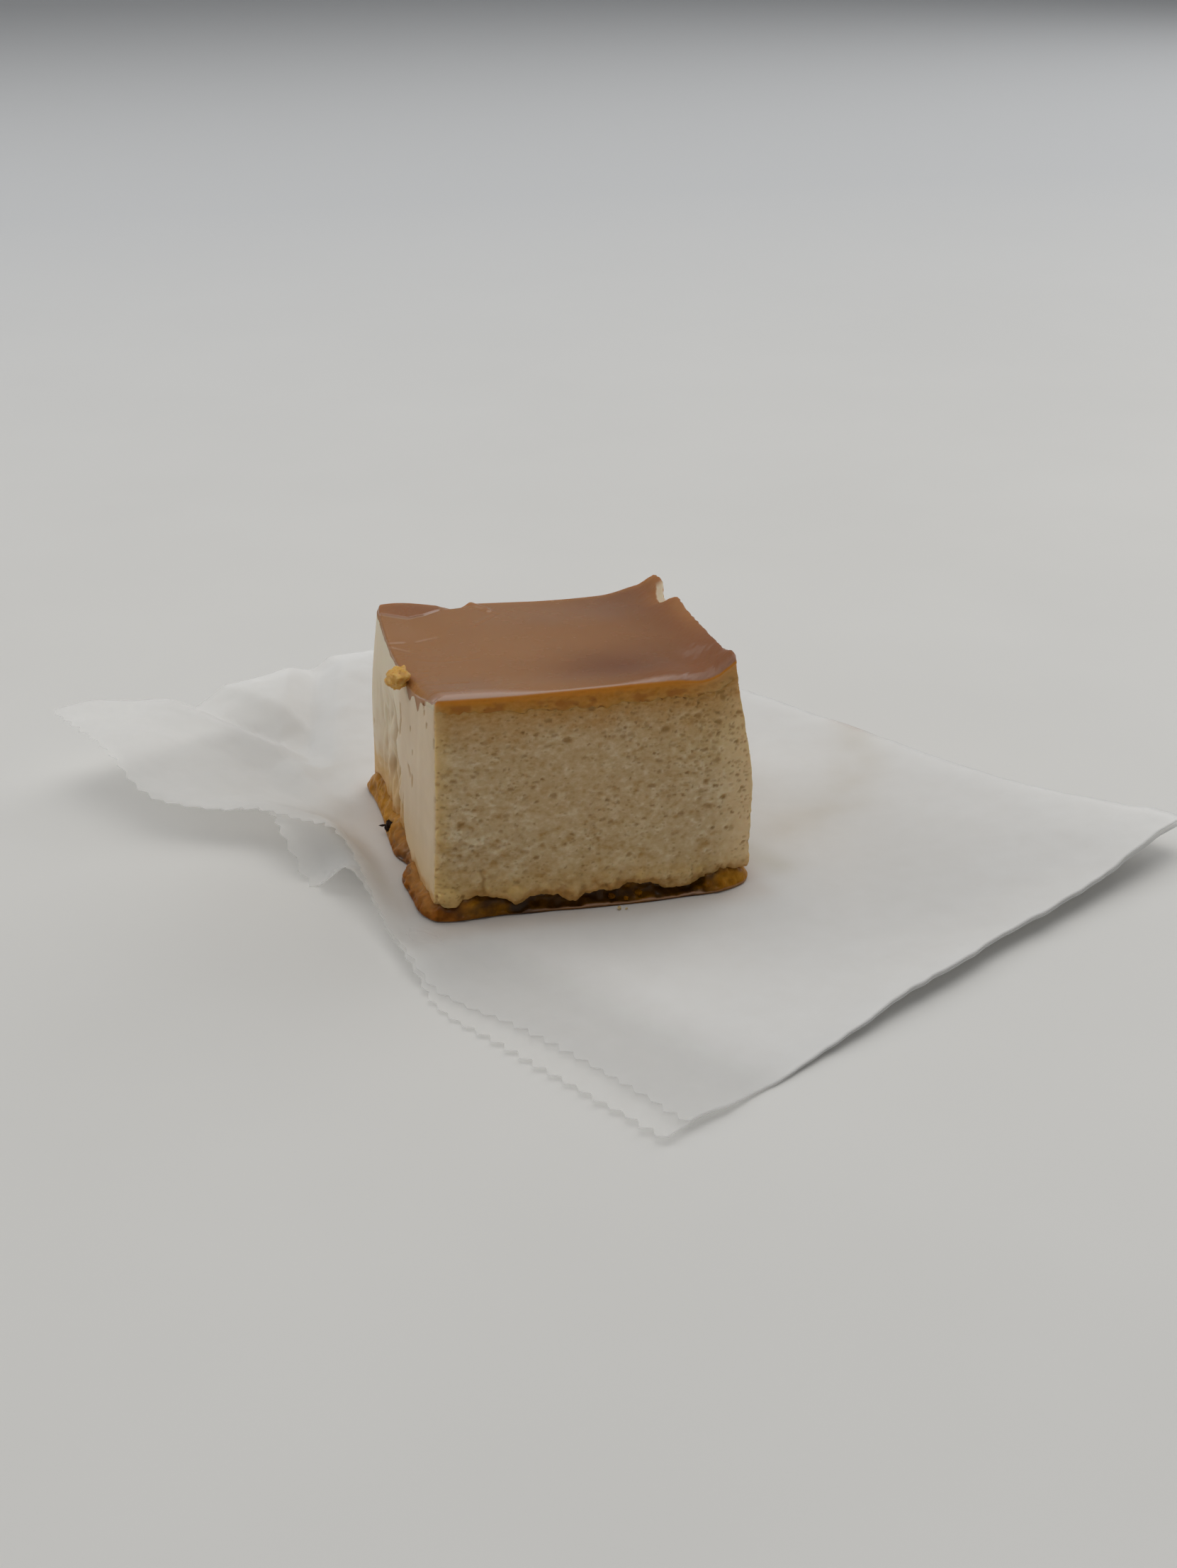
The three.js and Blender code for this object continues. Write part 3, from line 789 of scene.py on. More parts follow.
def around_block(front, right, back, left):
    """Places across and along, from -1 to 1, round the block's outline anticlockwise
    from the front left corner, with that many columns on each side."""
    steps = [np.linspace(-1, 1, n, endpoint=False) for n in (front, right, back, left)]
    across = np.concatenate([steps[0], np.ones(right), -steps[2], -np.ones(left)])
    along = np.concatenate([-np.ones(front), steps[1], np.ones(back), -steps[3]])
    return across, along


def pores(s, z, cell, seed, chance, flat=0.62):
    """Depth from 0 to 1 of small hollows: at most one in each cell of a lattice on the
    face, at a random place, of a random size, wider than high, with a rounded floor."""
    depth = np.zeros(np.shape(s))
    own_s, own_z = np.floor(s / cell), np.floor(z / cell)
    for step_s in (-1, 0, 1):
        for step_z in (-1, 0, 1):
            cells = [own_s + step_s, own_z + step_z]
            draws = [cell_number(cells, seed + k) for k in range(5)]
            middle_s = (cells[0] + 0.15 + 0.7 * draws[1]) * cell
            middle_z = (cells[1] + 0.15 + 0.7 * draws[2]) * cell
            half = cell * (0.22 + 0.3 * draws[3] ** 2)
            away = ((s - middle_s) / half) ** 2 + ((z - middle_z) / (flat * half)) ** 2
            bowl = held(1.5 - 1.35 * away) * (0.4 + 0.6 * draws[4])
            depth = np.maximum(depth, bowl * (draws[0] < chance))
    return depth


def on_face(share):
    """True where across is on the left face, or along on the front one."""
    return share <= -1 + 1e-6


def left_relief(y, z):
    """The left side's skin and the flesh behind its tear: how far it stands out, how much
    painted shade it takes in its dents, along the tear's groove and between the scales
    behind it, and how far it is flesh, the last two from 0 to 1."""
    tear_y = np.interp(z, *TEAR.T) + 0.35 * rough((z,), (2.6,), 135, 2)
    behind = ramp(y, tear_y - 0.1, tear_y + 0.5) * fall(y, 12, 24)
    behind = behind * fall(z, 25, 34)
    tongue = closeness(y, z, [(-2.4, 19), (-2.2, 16), (-0.4, 12.6)], 2.2)
    behind = behind * (1 - 0.8 * ramp(tongue, 0.3, 0.6))
    streaks = rough((y, z), (2.2, 13), 131, 3)
    scales = 0.6 * rough((y, z), (2.2, 7), 137, 3)
    dents = bell(y, 5.8, 1.2) * ramp(z, 19.2, 20.2) * fall(z, 23.5, 25) * 0.6
    for path, half in SKIN_DENTS:
        dents = np.maximum(dents, closeness(y, z, path, half))
    groove = bell(y - tear_y, 0.25, 0.45) * fall(z, 24, 30)
    relief = 0.05 * streaks * ramp(y, -6, 2) + behind * (scales - 1.2) - 0.6 * dents
    shade = 1.2 * dents + 0.9 * groove + 0.5 * behind * held(-scales * 2)
    return relief, held(shade), behind


def curd_relief(points, s, across, along):
    """How far the custard's skin stands out, in millimetres, and from 0 to 1 how deep it
    is pitted, which the material paints darker as shade in the pits (on the left side it is
    the painted shade of its dents and tear), how far it is the left skin, how far it is
    flesh behind the tear, and how pale it is, which the material also paints partly as light
    on the crests and shade in the troughs. Cut faces: slow swells, level flakes of curd,
    pores and lumps."""
    x, y, z = points.transpose(2, 0, 1)
    # The smooth skin of the left face fades out at its two corners.
    left = on_face(across) * ramp(along, -1, -0.96) * fall(along, 0.985, 1) + 0 * x
    cut = 1 - left
    front = on_face(along) + 0 * x
    swells = 0.28 * ripple((x, y, z), (11, 11, 8), 81) + 0.08 * rough((x, y, z), (4, 4, 3), 82)
    flakes = rough((x, y, z), (2.4, 2.4, 1.1), 85, 3) * (0.25 + 0.75 * bell(z, 14, 10))
    fine = rough((x, y, z), (1.1, 1.1, 0.8), 88, 2)

    upper_right = ramp(x, 0, 22) * ramp(z, 17, 32)
    crowd = held(0.26 + 0.5 * upper_right + 0.22 * ripple((x, y, z), (8, 8, 5), 91))
    warped_s = s + 0.3 * rough((s, z), (1.5, 1.1), 95, 2)
    warped_z = z + 0.2 * rough((s, z), (1.4, 1.1), 97, 2)
    small = pores(warped_s, warped_z, 1.05, 101, crowd)
    middling = pores(warped_s, warped_z, 2.0, 111, 0.55 * crowd)
    big = np.zeros(np.shape(x))
    for at_x, at_z, half_x, half_z, depth in BIG_PORES:
        away = ((x - at_x) / half_x) ** 2 + ((z - at_z) / half_z) ** 2
        big = np.maximum(big, depth * held(1.3 - away))
    pitted = np.maximum(np.maximum(0.6 * small, 0.85 * middling), big * front)

    # Curd lumps crowd the lower left of the front and its bottom edge, where there are
    # also a crack, a slab that stands out and the bits that hang down.
    lumpy = front * held(
        bell(x, -23, 9) * bell(z, 15, 7) + bell(z, 4.5, 3.2) + 0.3 * bell(z, 13, 6)
    )
    lumps = 0.8 * ramp(rough((x + 0.4 * y, y, z), (2.3, 2.3, 1.7), 121, 3), -0.5, 0.9)
    lumps = lumps + 0.5 * ramp(rough((x, y, z), (1.0, 1.0, 0.8), 127, 2), 0.0, 1.0)
    crack = closeness(x, z, [(-21.6, 9.8), (-21.1, 8.2), (-21.4, 7), (-21.1, 5.6)], 0.35) * front
    slab = front * ramp(x, 13.5, 14.1) * fall(x, 18.9, 19.5) * ramp(z, 2.2, 2.8)
    slab = slab * fall(z, 6.8, 7.2)
    bits = np.zeros(np.shape(x))
    for at_x, at_z, radius, _ in NUGGETS:
        away = ((x - at_x) ** 2 + (z - at_z) ** 2) / radius**2
        bits = np.maximum(bits, 0.5 * radius * np.sqrt(held(1 - away)))

    beds = ripple((x + y, z + 0.5 * ripple((x + y,), (9,), 141)), (13, 1.4), 143)
    on_cut = swells + 0.11 * flakes + 0.06 * fine - 0.42 * pitted + 0.6 * lumpy * (lumps - 0.4)
    on_cut = on_cut - 0.3 * crack + 0.45 * slab + front * bits
    pale = 0.5 + 0.26 * flakes + 0.32 * fine + 0.1 * beds + 0.25 * lumpy * (lumps - 0.5)
    pale = pale - 0.1 * slab

    on_left, shade, behind = left_relief(y, z)
    relief = cut * on_cut + left * on_left
    hollow = cut * np.maximum(pitted, 0.6 * crack) + left * shade
    return relief, hollow, left, behind * left, cut * held(pale) + left * 0.5


def side_rings(across, along, heights, floor, roof, levels):
    """Rings up the block's sides: plan place from the height above the foot, and z
    from the floor to the roof at that place."""
    rings = np.empty((len(levels), len(across), 3))
    for row, (height, level) in enumerate(zip(heights, levels)):
        x, y = block_plan(across, along, height)
        rings[row] = np.stack([x, y, mix(floor(x, y), roof(x, y), level)], axis=1)
    return rings


def drawn_in(ring, inset, rise=0):
    """A ring moved towards the block's middle by an inset in millimetres, and up."""
    away = np.hypot(ring[:, 0], ring[:, 1])[:, None]
    moved = ring.copy()
    moved[:, :2] *= 1 - inset / away
    moved[:, 2] += rise
    return moved


def under_top(ring, inset, lift=0):
    """A ring drawn in, and laid at a lift over the border under the caramel layer."""
    moved = drawn_in(ring, inset)
    moved[:, 2] = top_surface(moved[:, 0], moved[:, 1]) - CARAMEL_LAYER + lift
    return moved


# Columns on the front, right, back and left of the custard.
custard_across, custard_along = around_block(236, 132, 118, 150)
custard_levels = np.linspace(0, 1, 126)
custard_side = side_rings(
    custard_across, custard_along, mix(SIDE_FOOT, SIDE_TOP, custard_levels), hem_height,
    band_floor, custard_levels,
)
custard_s = run_along(custard_side[0])[None, :] + 0 * custard_levels[:, None]
relief, hollow, skin, torn, pale = curd_relief(
    custard_side, custard_s, custard_across[None, :], custard_along[None, :]
)
custard_side = custard_side + surface_normals(custard_side) * relief[:, :, None]
floor_rings = [drawn_in(custard_side[0], *by) for by in ((9, 0.6), (2.2, 0.35), (0.5, -0.25))]
roof_rings = [under_top(custard_side[-1], inset) for inset in (2.5, 7, 14, 21)]
roof_rings = [drawn_in(custard_side[-1], 0.25, 0.12), *roof_rings]
custard_stack = np.concatenate([floor_rings, custard_side, roof_rings])


def padded_rows(values):
    """Values for the side rows, repeated for the hidden rings at each end."""
    below, above = [values[:1]] * len(floor_rings), [values[-1:]] * len(roof_rings)
    return np.concatenate([*below, values, *above])


cx, cy, cz = custard_stack.transpose(2, 0, 1)
on_skin, off_skin = padded_rows(skin), 1 - padded_rows(skin)
on_front = padded_rows(on_face(custard_along)[None, :] + 0 * custard_s)
to_left = -custard_across[None, :]
frayed = rough((cx, cy, cz), (2.6, 2.6, 1.5), 151)
below_band = band_floor(cx, cy) - cz
below_band = below_band - 0.5 + 1.9 * frayed * ramp(below_band, 0, 3)
top_soak = off_skin * (1 - held(below_band / 9) ** 0.62)
top_soak = np.maximum(top_soak, 0.17 * on_front * bell(cx, -2, 15) * ramp(cz, 14, 20))
top_soak = top_soak * (1 - 0.5 * on_front * ramp(to_left, 0.93, 0.99))
above_hem = cz - hem_height(cx, cy)
above_hem = above_hem + 1.3 * frayed * ramp(above_hem, 0, 1)
foot_soak = 0.9 * fall(above_hem, -0.6, 2.6)
foot_soak += 0.26 * on_front * fall(above_hem, 2, 9) * bell(cx, -4, 16)
foot_soak = foot_soak * (1 - 0.8 * on_front * fall(cx, -29, -25))
dark_foot = 0.6 * on_front * fall(above_hem, 0, 1.1) * ramp(cx, -27, -22)
back_soak = fall(cz + 1.6 * frayed - 0.3 * (cy - 14), 6, 12)
back_soak = back_soak * ramp(cy, 12, 17) * ramp(-cx, 20, 27)
tear_soak = 0.4 * padded_rows(torn) * fall(cz + frayed, 5, 19)
soak = held(np.maximum(np.maximum(top_soak, foot_soak), 0.55 * back_soak) + tear_soak)
# Painted light: the front's right end and its left corner are painted lighter, as light catches
# them.
painted_edge_light = on_front * (ramp(cx, 22, 31) + 1.2 * ramp(to_left, 0.965, 1))
milky = on_skin * ramp(cy, -4, 2) * ramp(cz + 3 * frayed, 9, 24)
left_edge = ramp(to_left, 0.86, 0.985) * (0.66 + 0.2 * frayed)
golden = on_front * (left_edge + 0.4 * ramp(cx, 8, 26) * ramp(cz, 20, 36))
golden += 0.6 * on_front * bell(cz, 3, 5) + 0.5 * on_skin * fall(cz, 3, 17)
golden += 0.35 * on_front * ramp(-cx, 6, 20) * fall(cz, 4, 13)
golden += 0.2 * on_front * bell(cx, 1, 13) * bell(cz, 8, 8)
for at_x, at_z, radius, gold in NUGGETS:
    golden += on_front * gold * bell(np.hypot(cx - at_x, cz - at_z), 0, radius)
golden = held(golden + 0.35 * padded_rows(torn) * (1 - milky) + back_soak)

curd = new_finish(
    "baked_custard", (0.60, 0.42, 0.20), 0.5, Specular_IOR_Level=0.25, Subsurface_Weight=0.3,
    Subsurface_Scale=0.0025, Subsurface_Radius=(1.0, 0.55, 0.28),
)
LEVEL = (1, 1, 1.7)  # squashes clouds into level flakes
curd_cloud = spread(mottle(curd, 6, 4), 0.3, 0.7)
curd_fleck = spread(mottle(curd, 1.1, 4, LEVEL), 0.35, 0.65)
curd_height = plus(painted(curd, "pale"), spread(curd_fleck, 0, 1, -0.16, 0.16))
cut_tone = blend_colour(curd_cloud, (0.665, 0.465, 0.24), (0.72, 0.525, 0.285))
# Partly painted light and shade: the flakes' troughs are browner and their crests paler, partly as
# the curd's own colour.
cut_tone = blend_colour(spread(curd_height, -0.05, 0.42), (0.53, 0.305, 0.105), cut_tone)
cut_tone = blend_colour(spread(curd_height, 0.5, 1.05), cut_tone, (0.88, 0.71, 0.46))
skin_tone = blend_colour(curd_cloud, (0.70, 0.535, 0.355), (0.76, 0.595, 0.41))
skin_tone = washed(curd, skin_tone, [("milky", 1, (0.80, 0.67, 0.48))])
soaked = blend_colour(curd_fleck, (0.54, 0.26, 0.06), (0.64, 0.35, 0.115))
# Painted shade: the hollow wash darkens the pores, the crack, the left side's dents and groove,
# and the front's lowest millimetre.
custard_colour = washed(curd, cut_tone, [
    ("painted_edge_light", 0.75, (0.94, 0.69, 0.38)), ("skin", 1, skin_tone),
    ("golden", 0.75, (0.80, 0.535, 0.185)), ("soak", 1, soaked),
    ("hollow", 0.9, (0.42, 0.215, 0.05)),
])
# Pinholes between the pores: dots round scattered points, on the cut faces only, painted darker as
# shade in them.
dots = {"Vector": placed(curd, (1, 1, 1.5)), "Scale": 850}
dots = add_node(curd.node_tree, "ShaderNodeTexVoronoi", dots).outputs["Distance"]
on_cut_face = spread(painted(curd, "skin"), 0, 0.5, 1, 0)
pin_cloud = spread(mottle(curd, 3.5, 2, offset=(0.3, 0.1, 0.2)), 0.42, 0.62)
pinholes = times(times(spread(dots, 0.14, 0.34, 1, 0), on_cut_face), pin_cloud)
crumbled = times(mottle(curd, 0.8, 4, LEVEL), spread(painted(curd, "skin"), 0, 1, 1, 0.12))
feed(
    curd, Base_Color=blend_colour(times(pinholes, 0.5), custard_colour, (0.42, 0.225, 0.06)),
    Normal=bumpy([
        (times(pinholes, -1), 0.4, 0.15), (crumbled, 0.27, 0.22),
        (mottle(curd, 0.3, 3), 0.12, 0.05),
    ]),
)
custard = stack_mesh("custard_block", custard_stack, curd, {
    "soak": soak, "skin": on_skin, "hollow": held(padded_rows(hollow) + dark_foot),
    "pale": padded_rows(pale), "painted_edge_light": painted_edge_light, "golden": golden, "milky": milky,
})
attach(custard, "root")
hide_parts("custard")

# ---- Caramel top ----
# The amber layer that was the bottom of the baking dish: a thin glossy skin over custard
# soaked with caramel, folded and torn along the back and the left.

TOP_COUNT = 230  # columns of the top's grid, and as many rows
# The line in plan behind which the skin is folded.
FOLD_LINE = np.array([
    (-29.5, 21.4), (-26.9, 19.8), (-24.2, 18.6), (-20.7, 20.2), (-16.9, 23.5), (-15.5, 26),
])
# Fine scratches in the skin, each a broken line in plan.
SCRATCHES = [
    [(-30, 9.6), (-27, 9.2)], [(-30, 8), (-26.4, 4.9)], [(-30.2, -11.4), (-25.9, -8.8)],
    [(-25.9, 0.4), (-23.1, -2.3), (-18.6, -4.7), (-15.4, -5.3)], [(-29.7, -4.7), (-25.4, -6.7)],
    [(-29.5, -21.4), (-21.3, -24)], [(-28, -14), (-20, -17.5)], [(-24.5, 9), (-20, 10.2)],
]


def skin_marks(x, y):
    """Small forms of the skin in millimetres, and from 0 to 1 how far each place belongs
    to the folded patch at the back left and to the wrinkled right side."""
    folded = ramp(y - np.interp(x, *FOLD_LINE.T), -0.1, 0.35)
    folded = folded * fall(x, -17.2, -15.6)
    bead = closeness(x, y, [(-10, 26.4), (-8.7, 24), (-7.4, 21.9), (-7.1, 20.5)], 0.7)
    valley = closeness(x, y, [(-5.8, 18.5), (-8.7, 15), (-11.4, 12.4)], 0.35)
    ridge = closeness(x, y, [(-6.6, 18.2), (-9.5, 14.7), (-12, 12.2)], 0.5)
    relief = 0.28 * folded + 0.42 * bead - 0.2 * valley + 0.16 * ridge
    for scratch in SCRATCHES:
        relief = relief - 0.10 * closeness(x, y, scratch, 0.35)
    relief = relief - 0.9 * ramp(y, 24.0, 25.6) * bell(x, -12.9, 2.1)
    right_side = held(ramp(x, 21, 28) + 0.7 * ramp(x + 1.2 * -y, 36, 46))
    wrinkles = rough((x + 0.8 * y, x - y), (2.6, 0.9), 161, 2)
    front_right = ramp(x, 16, 23) * bell(y, -23, 6)
    pleats = ripple((x + 1.2 * y, y - 0.35 * x), (2.6, 0.55), 163)
    relief = relief + 0.07 * wrinkles * right_side + 0.03 * pleats * front_right
    relief = relief + 0.035 * rough((x, y), (9, 9), 165, 2)
    return relief, folded, right_side


def top_grid():
    """The top skin on a square grid that is closer towards the rim, turned down there:
    the places across and along are sines of evenly spaced angles."""
    widest = 1.3  # of the angles
    steps = np.sin(np.linspace(-1, 1, TOP_COUNT) * widest) / sin(widest)
    across, along = np.meshgrid(steps, steps)
    x, y = block_plan(across, along, BLOCK_HEIGHT)
    relief, folded, right_side = skin_marks(x, y)
    # At the back right the skin has broken off a strip of bare custard along the rim.
    bare = ramp(TOP_HALF_WIDTH * across, 27.4, 27.8) * ramp(y, 11.4, 12) * fall(y, 19, 22)
    z = top_surface(x, y) + relief - rim_roll(x, across, along) - 0.3 * bare
    return np.stack([x, y, z], axis=2), across, along, folded, right_side, bare


top_points, top_across, top_along, folded, right_side, bare = top_grid()
rim_index = grid_rim(TOP_COUNT, TOP_COUNT)
rim_points = top_points.reshape(-1, 3)[rim_index]
rim_across, rim_along = [each.ravel()[rim_index] for each in (top_across, top_along)]
band_levels = np.linspace(1, 0, 16)[1:]


def band_rings():
    """The layer's sides, from the rim down to the wavy line, pitted like the custard
    below them more and more."""
    rings = side_rings(
        rim_across, rim_along, mix(SIDE_TOP, BLOCK_HEIGHT, band_levels), band_floor,
        lambda x, y: rim_points[:, 2], band_levels,
    )
    s = run_along(rings[-1])[None, :] + 0 * band_levels[:, None]
    relief, hollow, skin, _, _ = curd_relief(rings, s, rim_across[None, :], rim_along[None, :])
    fade = (1 - band_levels[:, None]) ** 0.7
    rings = rings + surface_normals(rings[::-1])[::-1] * (relief * fade)[:, :, None]
    return rings, hollow * fade, skin


band_stack, band_hollow, band_skin = band_rings()
under = [drawn_in(band_stack[-1], 0.22, -0.05)]
under += [under_top(band_stack[-1], inset, 0.3) for inset in (3, 8, 15, 22)]
skirt = np.concatenate([band_stack, under])


def skirt_faces():
    """The sides go down from the grid's rim ring by ring, and close on a middle point."""
    skirt_index = TOP_COUNT**2 + np.arange(skirt[..., 0].size).reshape(len(skirt), -1)
    rings = np.concatenate([rim_index[None, :], skirt_index])
    after = np.roll(rings, -1, axis=1)
    wall = np.stack([rings[1:], after[1:], after[:-1], rings[:-1]], axis=2)
    middle = np.full(len(rim_index), skirt_index[-1, -1] + 1)
    return [wall.reshape(-1, 4), np.stack([middle, after[-1], rings[-1]], axis=1)]


def on_skirt(grid_values, side_values):
    """One number a point: those of the top grid, those of the side rows, and the last
    side row's again for the hidden rings and the middle."""
    side_values = np.broadcast_to(side_values, band_stack.shape[:2])
    hidden = np.concatenate([side_values, np.repeat(side_values[-1:], len(under), axis=0)])
    grid_values = np.broadcast_to(grid_values, top_across.shape)
    return np.concatenate([grid_values.ravel(), hidden.ravel(), [side_values[-1].mean()]])


tx, ty = top_points.transpose(2, 0, 1)[:2]
front_gap, back_gap, left_gap, right_gap = rim_gaps(top_across, top_along)
amber_rim = 0.75 * bell(right_gap, 0, 3.2) * ramp(ty, -14, 4) + 0.7 * bell(back_gap, 0, 1.4)
amber_rim += 0.35 * bell(left_gap, 0, 2.5)
# A painted sheen: a pale strip along the front rim, widest at the left, stands in for the
# reflection of the overhead light.
sheen_strip = 0.6 + 2.2 * ramp(-tx, 4, 22) + 1.0 * ramp(tx, 4, 16)
painted_sheen = fall(front_gap, 0.5 * sheen_strip, 1.6 * sheen_strip)
painted_sheen = painted_sheen * (1 - 0.8 * ramp(tx, 12, 21))
# Painted reflection: the skin is painted darker in a spot right of the middle and towards the
# right, and lighter on the left.
dim_reflection_spot = 0.85 * bell(np.hypot((tx - 7) / 12, (ty + 16.5) / 8), 0, 1)
dim_reflection_spot += 0.5 * ramp(tx, 8, 24) + 0.1 * rough((tx, ty), (11, 11), 181, 2)
bright_reflection_left = ramp(-tx, -16, 10) * (1 - 0.6 * bell(left_gap, 0, 3))
rim_x, rim_y = rim_points[:, 0], rim_points[:, 1]
# The side is cream at the front left corner and golden near both ends of the front.
side_cream = band_skin * ramp(-rim_y, 20.5, 22)[None, :]
side_golden = 0.7 * ramp(rim_x, 17, 28) + 0.9 * ramp(-rim_x, 26.6, 28.6)
side_golden = (1 - band_skin) * side_golden[None, :]
band_x, band_y, band_z = band_stack.transpose(2, 0, 1)
line_depth = top_surface(band_x, band_y) - 0.5 - band_z
line_wave = 0.3 * rough((band_x + band_y, band_z), (2.4, 3), 185, 3)
amber_line = bell(line_depth + line_wave, 0.25, 0.42) * (1 - band_skin)
blobs = ramp(rough((band_x + band_y, band_z), (1.9, 1.3), 187, 2), 0.1, 0.7)
blobs = blobs * ramp(line_depth, 0.5, 1.1) * (1 - band_skin)
# The material's layers, each as (on the grid, on the sides).
layers = {
    "side": (bell(front_gap, 0, 0.22), 1), "height": (1, band_levels[:, None]),
    "left": (0, band_skin), "cream": (bare, side_cream), "side_golden": (0, held(side_golden)),
    "amber_line": (bell(front_gap, 0, 0.3), amber_line), "blobs": (0, blobs),
    "rim": (held(amber_rim), 0),
    "folded": (folded, 0), "dark": (held(dim_reflection_spot), 0), "light": (bright_reflection_left, 0),
    "grainy": (right_side, 0), "painted_sheen": (painted_sheen, 0), "hollow": (0, band_hollow),
}
layers = {name: on_skirt(*values) for name, values in layers.items()}

caramel = new_finish(
    "set_caramel", (0.33, 0.15, 0.06), 0.3, Specular_IOR_Level=0.15, Coat_Roughness=0.26,
    Subsurface_Weight=0.25, Subsurface_Scale=0.0025, Subsurface_Radius=(1.0, 0.4, 0.12),
)
skin_cloud = spread(mottle(caramel, 14, 3), 0.3, 0.7)
skin_colour = blend_colour(skin_cloud, (0.335, 0.145, 0.05), (0.355, 0.158, 0.058))
# Of these washes the lighter left, the darker spot and the pale strip along the front rim are
# painted reflection and sheen; the darker wrinkled right side is partly its own colour and partly
# painted dim reflection.
skin_colour = washed(caramel, skin_colour, [
    ("light", 0.85, (0.40, 0.19, 0.075)), ("dark", 0.85, (0.20, 0.072, 0.028)),
    ("grainy", 0.5, (0.25, 0.09, 0.036)), ("folded", 0.6, (0.29, 0.10, 0.038)),
    ("rim", 0.6, (0.50, 0.225, 0.065)), ("painted_sheen", 0.72, (0.47, 0.29, 0.21)),
])
band_fleck = spread(mottle(caramel, 1.4, 4, (1, 1, 1.6)), 0.35, 0.65)
band_low = blend_colour(band_fleck, (0.57, 0.25, 0.042), (0.66, 0.325, 0.085))
band_high = blend_colour(band_fleck, (0.56, 0.20, 0.014), (0.64, 0.26, 0.034))
# Painted shade: the hollow wash darkens the pits of the sides, as shade in them.
band_colour = washed(caramel, band_low, [
    ("height", 1, band_high), ("amber_line", 0.7, (0.72, 0.28, 0.03)),
    ("blobs", 0.75, (0.44, 0.155, 0.025)), ("side_golden", 0.8, (0.70, 0.42, 0.17)),
    ("hollow", 0.6, (0.42, 0.18, 0.04)), ("left", 1, (0.40, 0.19, 0.08)),
])
on_side, in_grain = painted(caramel, "side"), painted(caramel, "grainy")
skin_roughness = spread(mottle(caramel, 6, 3), 0.3, 0.7, 0.22, 0.3)
feed(
    caramel,
    Base_Color=washed(caramel, skin_colour, [
        ("side", 1, band_colour), ("cream", 1, (0.68, 0.55, 0.38)),
    ]),
    Roughness=plus(plus(skin_roughness, times(on_side, 0.22)), times(in_grain, 0.16)),
    Coat_Weight=spread(plus(on_side, times(in_grain, 0.6)), 0, 1, 0.7, 0),
    Normal=bumpy([(mottle(caramel, 2.4, 3), 0.05, 0.1), (mottle(caramel, 0.5, 3), 0.04, 0.04)]),
)
top_parts = [top_points.reshape(-1, 3), skirt.reshape(-1, 3), skirt[-1].mean(axis=0)[None]]
top_faces = [grid_faces(TOP_COUNT, TOP_COUNT), *skirt_faces()]
caramel_top = put_mesh("caramel_top_layer", np.concatenate(top_parts), top_faces, caramel, layers)
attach(caramel_top, "root")
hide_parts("caramel_top")

# ---- Crumbs and burnt speck ----
# A broken crumb of amber custard is stuck to the top's left edge, and a burnt speck with
# its twig to the foot of the left side. Tiny bits lie in the dark hollow along the front
# and on the paper before it.


def broken_crumb(name, centre, radii, seed, roughness, finish):
    """A broken crumb: what planes at random distances leave of a ball, so that in each
    direction the nearest plane counts, by a smooth minimum, then roughened by noise."""
    rows, columns, cuts = 44, 60, 16
    sharpness, farthest = 9, 1.12
    tilt = np.linspace(-pi / 2, pi / 2, rows + 2)[1:-1, None]
    turn = np.linspace(0, 2 * pi, columns, endpoint=False)[None, :]
    unit = np.cos(tilt) * np.cos(turn), np.cos(tilt) * np.sin(turn), np.sin(tilt)
    unit = np.stack(np.broadcast_arrays(*unit), axis=2)
    draws = np.random.default_rng(seed)
    planes = draws.normal(size=(cuts, 3))
    planes /= np.linalg.norm(planes, axis=1, keepdims=True)
    distances = draws.uniform(0.62, 1.0, cuts)
    facing = np.maximum(unit @ planes.T, 1e-3)
    nearness = np.exp(-sharpness * distances / facing).sum(axis=2)
    push = -np.log(nearness + np.exp(-sharpness * farthest)) / sharpness
    size = np.array(radii).mean()
    noise = rough(unit.transpose(2, 0, 1) * size, (size * 0.55,) * 3, seed, 4)
    push = push * (1 + roughness * noise)
    return stack_mesh(name, centre + unit * radii * push[:, :, None], finish, {})


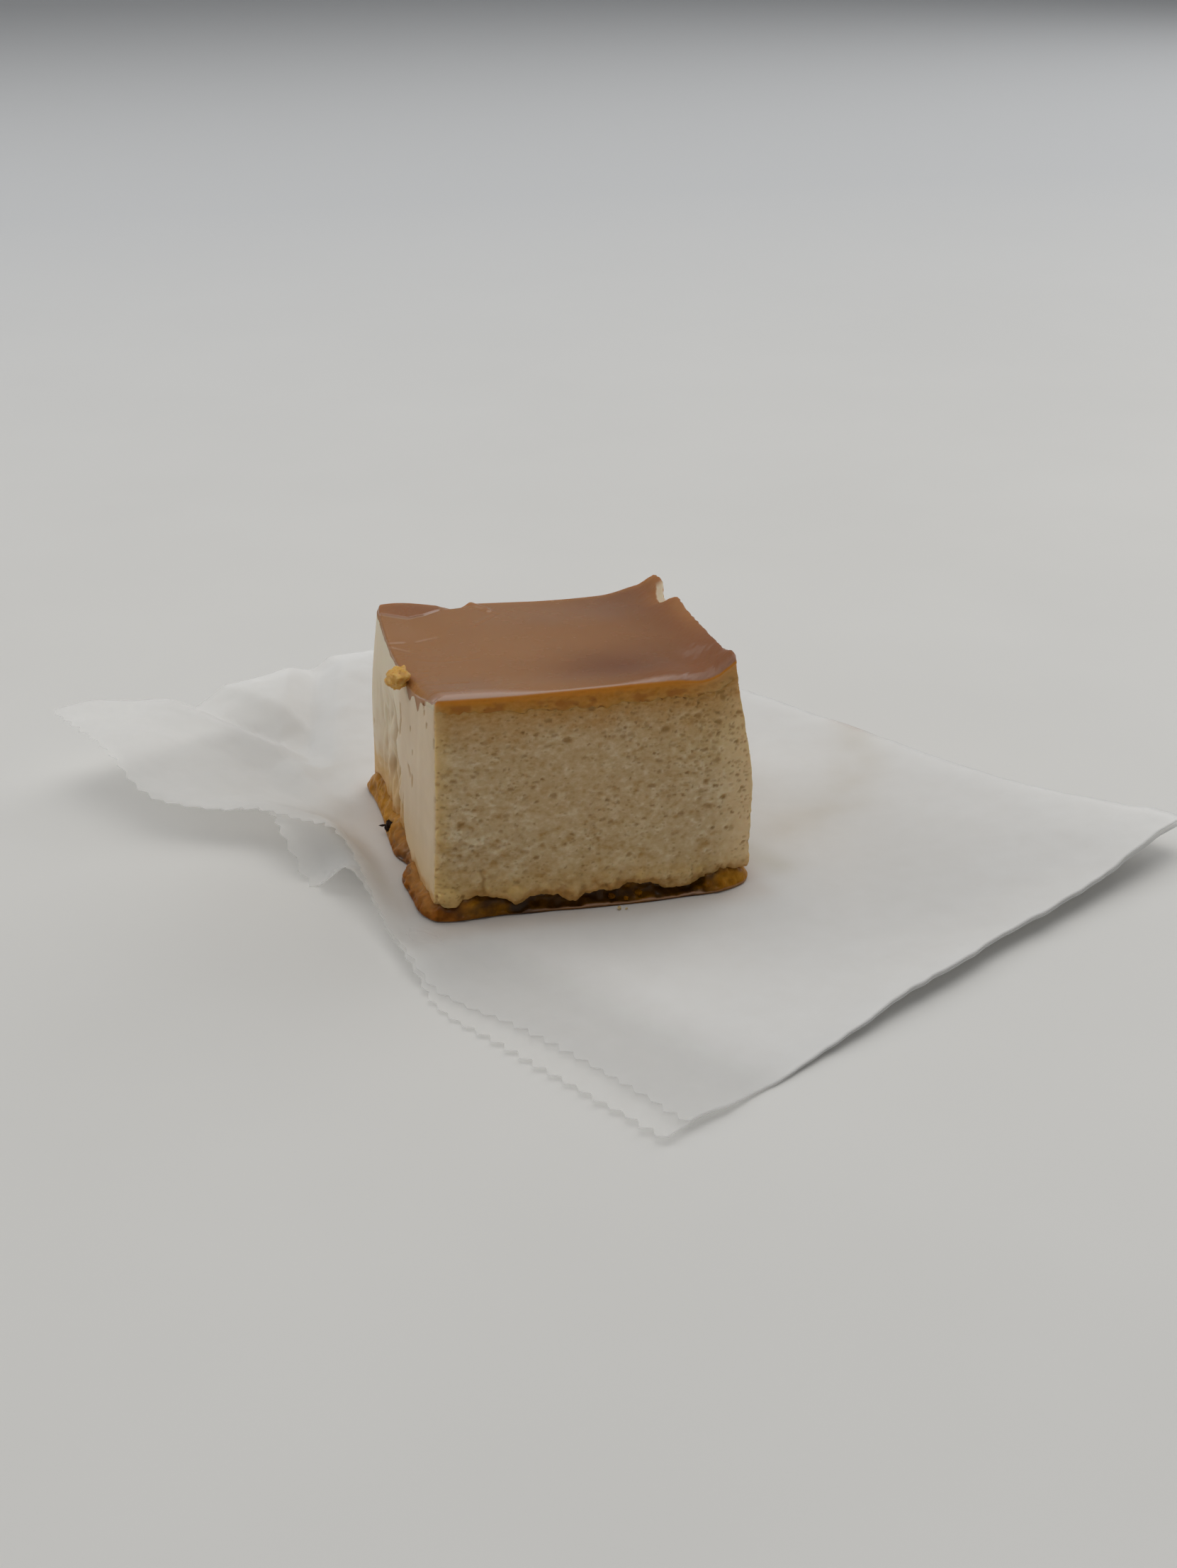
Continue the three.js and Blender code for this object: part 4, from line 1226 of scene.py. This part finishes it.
amber_curd = new_finish(
    "amber_crumb", (0.66, 0.40, 0.08), 0.4, Specular_IOR_Level=0.3, Subsurface_Weight=0.5,
    Subsurface_Scale=0.002, Subsurface_Radius=(1.0, 0.6, 0.2),
)
crumb_fleck = spread(mottle(amber_curd, 1.3, 4), 0.35, 0.65)
feed(
    amber_curd, Base_Color=blend_colour(crumb_fleck, (0.59, 0.30, 0.045), (0.74, 0.45, 0.12)),
    Normal=bumpy([(mottle(amber_curd, 0.7, 3), 0.25, 0.15)]),
)
loose_curd = new_finish("loose_curd", (0.72, 0.57, 0.30), 0.5)
loose_fleck = spread(mottle(loose_curd, 0.9, 3), 0.35, 0.65)
feed(loose_curd, Base_Color=blend_colour(loose_fleck, (0.58, 0.40, 0.17), (0.78, 0.63, 0.36)))
burnt_crust = new_finish("burnt_crust", (0.02, 0.009, 0.004), 0.6, Specular_IOR_Level=0.15)

# Crumbs as (name, centre, radii, seed, roughness), by node, slot and finish.
for node, slot, finish, crumbs in (
    ("caramel_top", "caramel", amber_curd, [
        ("amber_crumb", (-31.0, -6.2, 39.9), (2.5, 3.7, 2.3), 176, 0.27),
    ]),
    ("caramel_base", "syrup", burnt_crust, [
        ("burnt_speck", (-32.0, 7.2, 2.3), (0.9, 1.4, 1.5), 191, 0.3),
        ("burnt_twig", (-33.1, 7.8, 2.6), (1.0, 0.25, 0.22), 193, 0.2),
    ]),
    ("caramel_base", "syrup", syrup, [
        ("hollow_bit_1", (3.5, -33.4, 2.0), (0.8, 0.7, 0.75), 195, 0.25),
        ("hollow_bit_2", (8.8, -33.5, 2.1), (0.85, 0.7, 0.8), 196, 0.25),
        ("hollow_bit_3", (6.0, -34.3, 1.7), (0.5, 0.45, 0.45), 197, 0.25),
    ]),
    ("custard", "custard", loose_curd, [
        ("loose_crumb_1", (4.0, -36.7, 1.1), (0.5, 0.5, 0.38), 201, 0.25),
        ("loose_crumb_2", (5.3, -37.0, 0.95), (0.28, 0.28, 0.2), 202, 0.25),
    ]),
):
    for name, centre, radii, seed, roughness in crumbs:
        piece = broken_crumb(name, centre, radii, seed, roughness, finish)
        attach(piece, "root")
        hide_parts(node)
